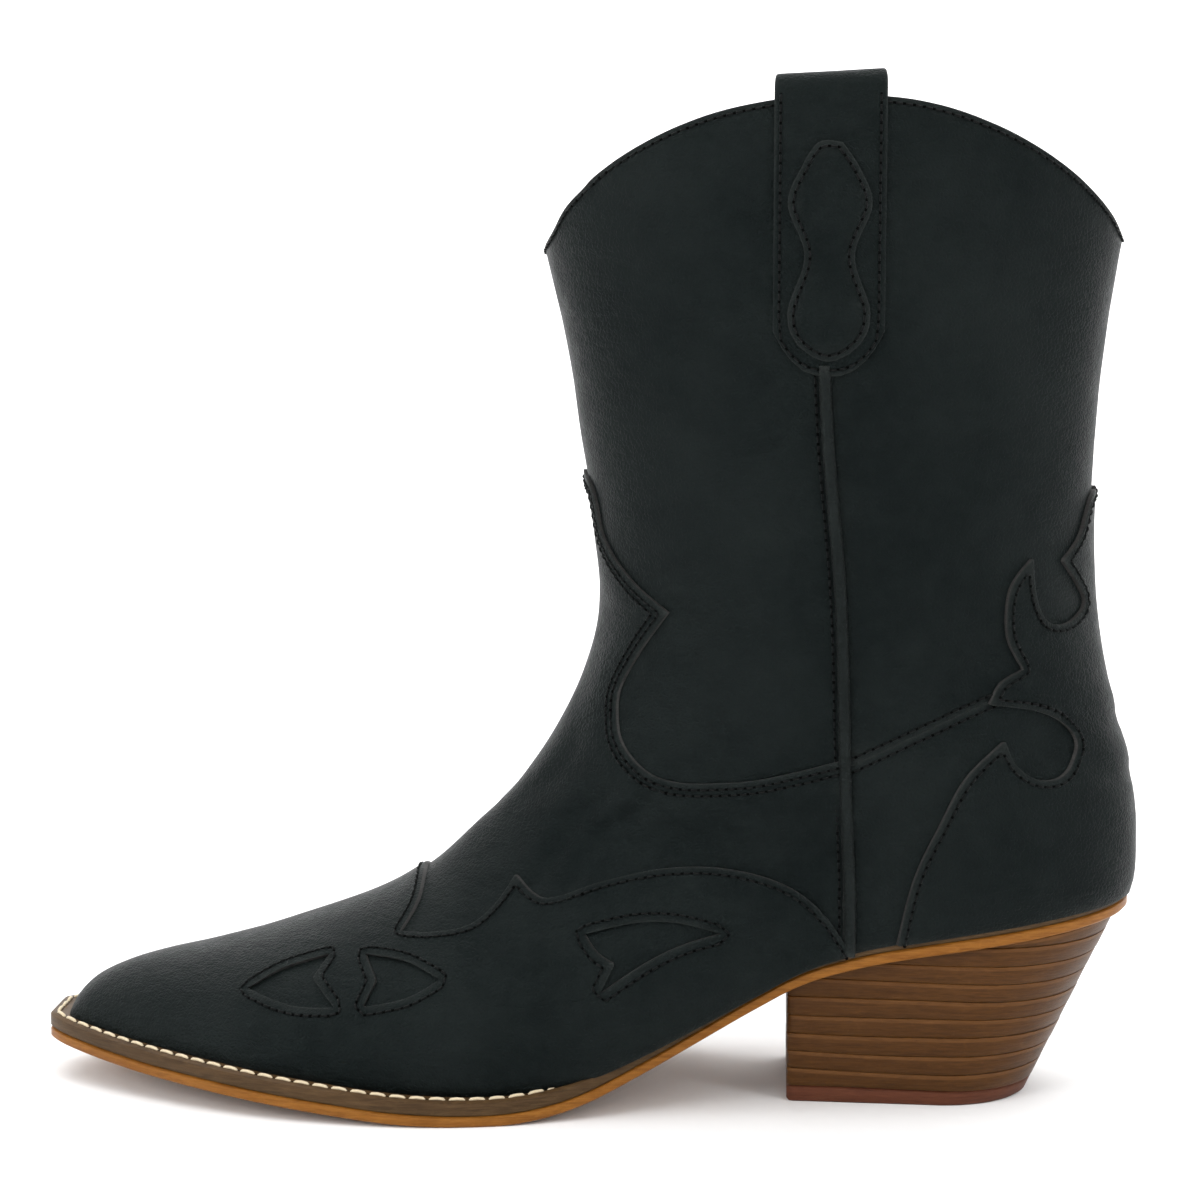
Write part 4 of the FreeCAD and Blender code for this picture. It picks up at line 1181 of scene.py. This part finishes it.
columns = []
for offset in STRAP_COLUMNS:
    x = STRAP_FRONT + offset
    line = strap_column(x)
    spots = locate([(x, z) for z, _ in line])
    columns.append(np.column_stack([spots, [h for _, h in line]]))
strap_grid = np.stack(columns, axis=1)
patch_outline = PATCH_HALF + [(-dx, z) for dx, z in PATCH_HALF[-2::-1]]
patch_line = drawn([(STRAP_MID + dx, z) for dx, z in patch_outline + patch_outline[:1]], 0.5)
patch_path = on_surface(patch_line)[:-1]
for side in (1, -1):
    turn = strap_grid[..., 1] * side
    middle = skin(strap_grid[..., 0].ravel(), turn.ravel(), strap_grid[..., 2].ravel())
    middle = middle.reshape(*turn.shape, 3)
    finish_piece(slab(made_for(side, "strap_leather"), middle, STRAP_HALF, BLACK),
                 "upper_leather", made_for(side, "pull_strap"))
    leather(made_for(side, "patch_leather"), on_side(patch_path, side), PATCH_LOW, PATCH_HIGH,
            made_for(side, "strap_patch"))

# ---------------------------------------------------------------- lining of the leg
LINING_SPLIT = 93.0
split_line = drawn([(-60.0, LINING_SPLIT), (160.0, LINING_SPLIT)])
seam_in_shaft = on_surface(between_lines(seam_line, rim_line - (0.0, 0.5), split_line))
rim_inside = rim_line - (0.0, 0.5)
rim_in_front = to_ridge(upto(rim_inside, seam_line))
rim_in_back = to_ridge(after(rim_inside, seam_line), True, False)
split_front = to_ridge(upto(split_line, seam_line))
split_back = to_ridge(after(split_line, seam_line), True, False)
lining_front = both_sides(joined(rim_in_front, seam_in_shaft, split_front[::-1]))
lining_back = both_sides(joined(rim_in_back[::-1], seam_in_shaft, split_back), math.pi)
for name, loop in (("lining_front", lining_front), ("lining_back", lining_back)):
    made = panel(name, loop, LINING, LINING_PANEL_LOW, LINING_PANEL_HIGH, step=3.0)
    finish_piece(made, "lining", "shaft_lining")

# ---------------------------------------------------------------- seams of the upper
STITCH_IN = 1.5
WINDOW_ROW = 2.1
RIM_ROW = 1.3              # the same for the rim and the strap's patch


def both(path, make_side=on_side):
    return [path, make_side(path, -1)]


def runs_of(paths, height):
    """Stitch runs for paths on both sides."""
    return [seam_run(path, height(path[:, 0], np.abs(path[:, 1])) if callable(height) else height)
            for path in paths]


def mirrored_rows(edge, distances, loop, height, make_side=on_side):
    out = []
    for distance in distances:
        out += runs_of(both(row_beside(edge, distance, loop), make_side), height)
    return out


def sewn(name, rows):
    finish_piece(stitches(name, rows, THREAD, HOLE_SHADE), "upper_leather")


sewn("vamp_stitches", mirrored_rows(tongue_side, (STITCH_IN, 3.0), vamp_loop, vamp_height))
wing_rows = mirrored_rows(wing_side, (STITCH_IN,), wing_loop, OVER_HIGH)
for window in windows(1):
    ring = stepped(window, WINDOW_ROW * (1 if winding(window) < 0 else -1), True)
    ring = ring[gaps_between(bare(ring), bare(window)) > WINDOW_ROW * 0.93]
    ring = even_path(np.vstack([ring, ring[:1]]), ROW_STEP)
    wing_rows += runs_of(both(ring), OVER_HIGH)
sewn("wing_stitches", wing_rows)
sewn("counter_stitches", mirrored_rows(counter_side, (STITCH_IN,), counter_loop, OVER_HIGH, back_on_side))
quarter_rows = []
for loop in (back_loop, quarter_outline):
    quarter_rows += mirrored_rows(quarter_side[:-8], (STITCH_IN,), loop, BASE_HIGH, back_on_side)
sewn("quarter_stitches", quarter_rows)
rim_rows = mirrored_rows(rim_front, (RIM_ROW,), front_loop, BASE_HIGH)
rim_rows += mirrored_rows(rim_back, (RIM_ROW,), back_loop, BASE_HIGH, back_on_side)
sewn("rim_stitches", rim_rows)
sewn("side_seam_stitches", runs_of(both(stepped(piping_path, -2.3, False)), BASE_HIGH))

# The strap's row runs down one side, round the end and up the other side.
STRAP_ROW_TOP, STRAP_ROW_LOW = 243.0, 192.0
row_front, row_back = STRAP_FRONT + STITCH_IN, STRAP_BACK - STITCH_IN
strap_points = [(row_front, z) for z in np.linspace(STRAP_ROW_TOP, STRAP_ROW_LOW, 30)]
strap_points += [(x, strap_bottom(x) + STITCH_IN) for x in np.linspace(row_front + 0.4, row_back - 0.4, 30)]
strap_points += [(row_back, z) for z in np.linspace(STRAP_ROW_LOW, STRAP_ROW_TOP, 30)]
strap_row = even_path(on_surface(np.array(strap_points)), ROW_STEP)
patch_row = row_beside(patch_path, RIM_ROW, patch_path, True)
strap_rows = runs_of(both(strap_row), STRAP_OUT + STRAP_HALF) + runs_of(both(patch_row), PATCH_HIGH)
sewn("strap_stitches", strap_rows)

# ---------------------------------------------------------------- welt, outsole and heel
WELT_FRONT, WELT_HEEL = 3.6, 1.7
WELT_WIDTH = 9.0
SOLE_JOINT = 0.1
OUTSOLE_THICK = 2.7
RING_STEP = 1.5            # spacing of points round the sole


def welt_thick(x):
    share = np.clip((x + 10.0) / 60.0, 0.0, 1.0)
    return WELT_FRONT + (WELT_HEEL - WELT_FRONT) * share * share * (3 - 2 * share)


def plan_outline():
    """Closed plan of the sole, with its toe corners eased."""
    around = SOLE_OUTER + SOLE_INNER[-2::-1]
    dense = catmull(around, np.linspace(0, len(around) - 1.0001, 1500))
    ring = spaced(dense, 0.5, True)
    for _ in range(6):
        ring = (np.roll(ring, 1, axis=0) + 2 * ring + np.roll(ring, -1, axis=0)) / 4
    return spaced(ring, RING_STEP, True) + (0.0, AXIS_Y)


def inset_ring(ring, distance):
    """The ring moved inwards by a distance."""
    moved = ring + inwards(ring, 2) * distance
    return spaced(moved[gaps_between(moved, ring) > distance * 0.97], RING_STEP, True)


sole_ring = plan_outline()
welt_hole = inset_ring(sole_ring, WELT_WIDTH)


def welt_low(x):
    return feather_height(x) - welt_thick(x)


def sole_high(x):
    return welt_low(x) - SOLE_JOINT


def sole_low(x):
    return np.maximum(sole_high(x) - OUTSOLE_THICK, 0.0)


made = plate("welt_strip", sole_ring, feather_height, welt_low, WELT, hole=welt_hole, soft=0.4)
finish_piece(made, "welt", "welt")
made = plate("outsole_leather", sole_ring, sole_high, sole_low, OUTSOLE, soft=0.45)
finish_piece(made, "outsole", "outsole")

BREAST_X = 50.4
FOOT_BACK, SEAT_BACK = 110.2, 134.6
FOOT_HALF, SEAT_HALF = 22.0, 29.6
LOFT_HEIGHT = 52.0
TOP_PIECE_THICK = 4.0
TOP_LEVEL = 2.0            # half-way up the top piece
LIFT_PITCH = 4.7
LIFT_COUNT = 9


def heel_back(z):
    return FOOT_BACK + (SEAT_BACK - FOOT_BACK) * z / LOFT_HEIGHT


def heel_half(z):
    return FOOT_HALF + (SEAT_HALF - FOOT_HALF) * z / LOFT_HEIGHT


def heel_outline(z, start=BREAST_X):
    """D-shaped plan of the heel at a height, cut off ahead of a place."""
    back, half = heel_back(z), heel_half(z)
    shoulder, corner = back - 1.02 * half, 0.92 * half
    arc = [(shoulder + 1.02 * half * math.sin(a), -half * math.cos(a)) for a in np.linspace(0, math.pi, 60)]
    ring = [(BREAST_X, corner - 1.2), (BREAST_X, 1.2 - corner), (BREAST_X + 0.4, 0.4 - corner),
            (BREAST_X + 1.2, -corner)] + arc
    ring += [(BREAST_X + 1.2, corner), (BREAST_X + 0.4, corner - 0.4)]
    ring = spaced(np.array(ring), 1.4, True)
    if start > BREAST_X:
        ring = ring[ring[:, 0] > start]
        cut = int(np.argmax(np.linalg.norm(np.roll(ring, -1, axis=0) - ring, axis=1)))
        ring = np.roll(ring, -(cut + 1), axis=0)
        ring = spaced(ring, 1.4, True)
    return ring + (0.0, AXIS_Y)


def tapered(level):
    """Moves points of a lift drawn at one level to the heel's taper at their own heights."""
    def warp(points):
        z = points[:, 2]
        stretch = (heel_back(z) - BREAST_X) / (heel_back(level) - BREAST_X)
        spread = heel_half(z) / heel_half(level)
        return np.column_stack([BREAST_X + (points[:, 0] - BREAST_X) * stretch,
                                AXIS_Y + (points[:, 1] - AXIS_Y) * spread, z])
    return warp


def lift_line(number):
    """Height of the joint below a lift: the layers sag a little in the middle."""
    base = TOP_PIECE_THICK + LIFT_PITCH * (number - 1)
    sag = 0.55 if number > 1 else 0.0

    def height(x):
        along = (x - BREAST_X) / (heel_back(base) - BREAST_X)
        return base - sag * np.sin(np.clip(along, 0, 1) * math.pi) + 0.2 * np.sin(along * 5 + number)
    return height


def under_sole(x):
    return sole_low(x) - 0.05


def capped(height, below=0.0):
    return lambda x: np.minimum(height(x) - below, under_sole(x) - below * 0.2)


made = plate("top_piece_rubber", heel_outline(TOP_LEVEL), capped(lift_line(1), 0.15), lambda x: 0.0 * x,
             TOP_PIECE, warp=tapered(TOP_LEVEL), soft=0.5)
finish_piece(made, "top_piece", "top_piece")
search = np.linspace(BREAST_X, 134.0, 500)
for number in range(1, LIFT_COUNT + 1):
    level = TOP_PIECE_THICK + LIFT_PITCH * (number - 0.5)
    low = lift_line(number)
    high = lift_line(number + 1) if number < LIFT_COUNT else (lambda x: 0.0 * x + 90.0)
    clear = under_sole(search) > low(search) + 0.12
    start = BREAST_X if clear[0] else float(search[np.argmax(clear)])
    outline = heel_outline(level, start)
    jitter = rng.normal(0, 0.05)
    centre = outline.mean(axis=0)
    outline = centre + (outline - centre) * (1 + jitter / 40.0)
    made = plate(f"lift_{number}", outline, capped(high, 0.1), capped(low), LIFT, LIFT_EDGE, band=1.0,
                 warp=tapered(level), soft=0.18)
    finish_piece(made, "stacked_heel", f"heel_lift_{number}")

# Welt stitches, round the toe and along both sides to the waist.
STITCH_END_X = 27.0
welt_row = inset_ring(sole_ring, 1.9)
start = int(np.argmax(welt_row[:, 0]))
welt_row = np.roll(welt_row, -start, axis=0)
welt_row = welt_row[welt_row[:, 0] < STITCH_END_X]
welt_points = np.column_stack([welt_row, feather_height(welt_row[:, 0])])
welt_ups = np.tile([0.0, 0.0, 1.0], (len(welt_row), 1))
finish_piece(stitches("welt_thread", [(welt_points, welt_ups)], WELT_THREAD, HOLE_SHADE, 4.75, 3.9, 0.42, 0.05),
             "welt_thread", "welt_stitching")

# ---------------------------------------------------------------- CAD pieces that stay
KEPT = {
    "foot_lining": LINING,
    "toe_puff": board("toe_puff_board", (0.30, 0.26, 0.20), (0.42, 0.37, 0.30)),
    "heel_counter_stiffener": board("counter_board", (0.28, 0.22, 0.16), (0.40, 0.33, 0.25)),
    "sock_liner": lining_leather("sock_leather", (0.40, 0.30, 0.20), (0.56, 0.44, 0.31)),
    "insole_board": board("insole_board_fibre", (0.32, 0.24, 0.15), (0.45, 0.35, 0.24)),
    "bottom_filler": board("cork_filler", (0.20, 0.11, 0.05), (0.42, 0.27, 0.14)),
    "steel_shank": steel("shank_steel"),
    "heel_nails": steel("nail_steel"),
}
for node, material in KEPT.items():
    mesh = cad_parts[node].data
    mesh.materials.clear()
    mesh.materials.append(material)

# ---------------------------------------------------------------- floor, light and camera
FLOOR_RADIUS = 1.7      # metres to where the floor starts to curve up
COVE_RADIUS = 0.9
WALL_TOP = 2.6


def studio():
    """Pale round floor that curves up into a wall all round the boot."""
    material = plain("studio_floor", (220.0, 3.0, 0.5), (0.90, 0.90, 0.90), (0.93, 0.93, 0.93), (0.75, 0.9),
                     (0.00005, 0.2), Specular_IOR_Level=0.2)
    bends = np.linspace(0, math.pi / 2, 20)
    profile = [(FLOOR_RADIUS + COVE_RADIUS * math.sin(a), COVE_RADIUS * (1 - math.cos(a))) for a in bends]
    profile.append((FLOOR_RADIUS + COVE_RADIUS, WALL_TOP))
    rays = np.linspace(0, 2 * math.pi, 96, endpoint=False)
    points = [(0.0, 0.0, 0.0)]
    for radius, z in profile:
        points += [(radius * math.cos(a), radius * math.sin(a), z) for a in rays]
    n = len(rays)
    faces = [(0, 1 + k, 1 + (k + 1) % n) for k in range(n)]
    for row in range(len(profile) - 1):
        low, high = 1 + row * n, 1 + (row + 1) * n
        faces += [(low + k, high + k, high + (k + 1) % n, low + (k + 1) % n) for k in range(n)]
    mesh = bpy.data.meshes.new("studio_floor")
    mesh.from_pydata(points, [], faces)
    mesh.shade_smooth()
    mesh.materials.append(material)
    floor = bpy.data.objects.new("studio_floor", mesh)
    bpy.context.scene.collection.objects.link(floor)


def softbox(name, place, aim, size, power):
    light = bpy.data.lights.new(name, "AREA")
    light.shape = "RECTANGLE"
    light.size, light.size_y = size
    light.energy = power
    made = bpy.data.objects.new(name, light)
    made.location = place
    made.rotation_euler = (Vector(aim) - Vector(place)).to_track_quat("-Z", "Y").to_euler()
    bpy.context.scene.collection.objects.link(made)


studio()
world = bpy.data.worlds.new("studio")
world.use_nodes = True
world.node_tree.nodes["Background"].inputs["Color"].default_value = (1.0, 1.0, 1.0, 1.0)
world.node_tree.nodes["Background"].inputs["Strength"].default_value = 0.5
bpy.context.scene.world = world
softbox("overhead", (0.0, 0.0, 1.5), (0.0, 0.0, 0.0), (2.6, 2.2), 31.0)
softbox("backdrop", (0.0, 1.0, 1.9), (0.0, 2.4, 0.9), (2.4, 0.8), 46.0)
softbox("left_front", (-1.0, -1.1, 0.75), (0.0, 0.0, 0.12), (0.5, 0.8), 8.0)
softbox("right_front", (1.1, -0.9, 0.9), (0.0, 0.0, 0.12), (0.35, 0.8), 5.0)

CAMERA_DISTANCE = 700.0
CAMERA_TURN = math.radians(3.5)
CAMERA_HEIGHT = 205.0
AIM = Vector((3.3, AXIS_Y, 121.3)) * MM
camera_data = bpy.data.cameras.new("camera")
camera_data.sensor_width = 36.0
camera_data.lens = 85.0
camera_data.clip_start = 0.01
camera = bpy.data.objects.new("camera", camera_data)
camera_x = AIM.x / MM + CAMERA_DISTANCE * math.sin(CAMERA_TURN)
camera_y = AXIS_Y - CAMERA_DISTANCE * math.cos(CAMERA_TURN)
camera.location = Vector((camera_x, camera_y, CAMERA_HEIGHT)) * MM
camera.rotation_euler = (AIM - camera.location).to_track_quat("-Z", "Y").to_euler()
bpy.context.scene.collection.objects.link(camera)
bpy.context.scene.camera = camera
bpy.context.scene.view_settings.view_transform = "Standard"
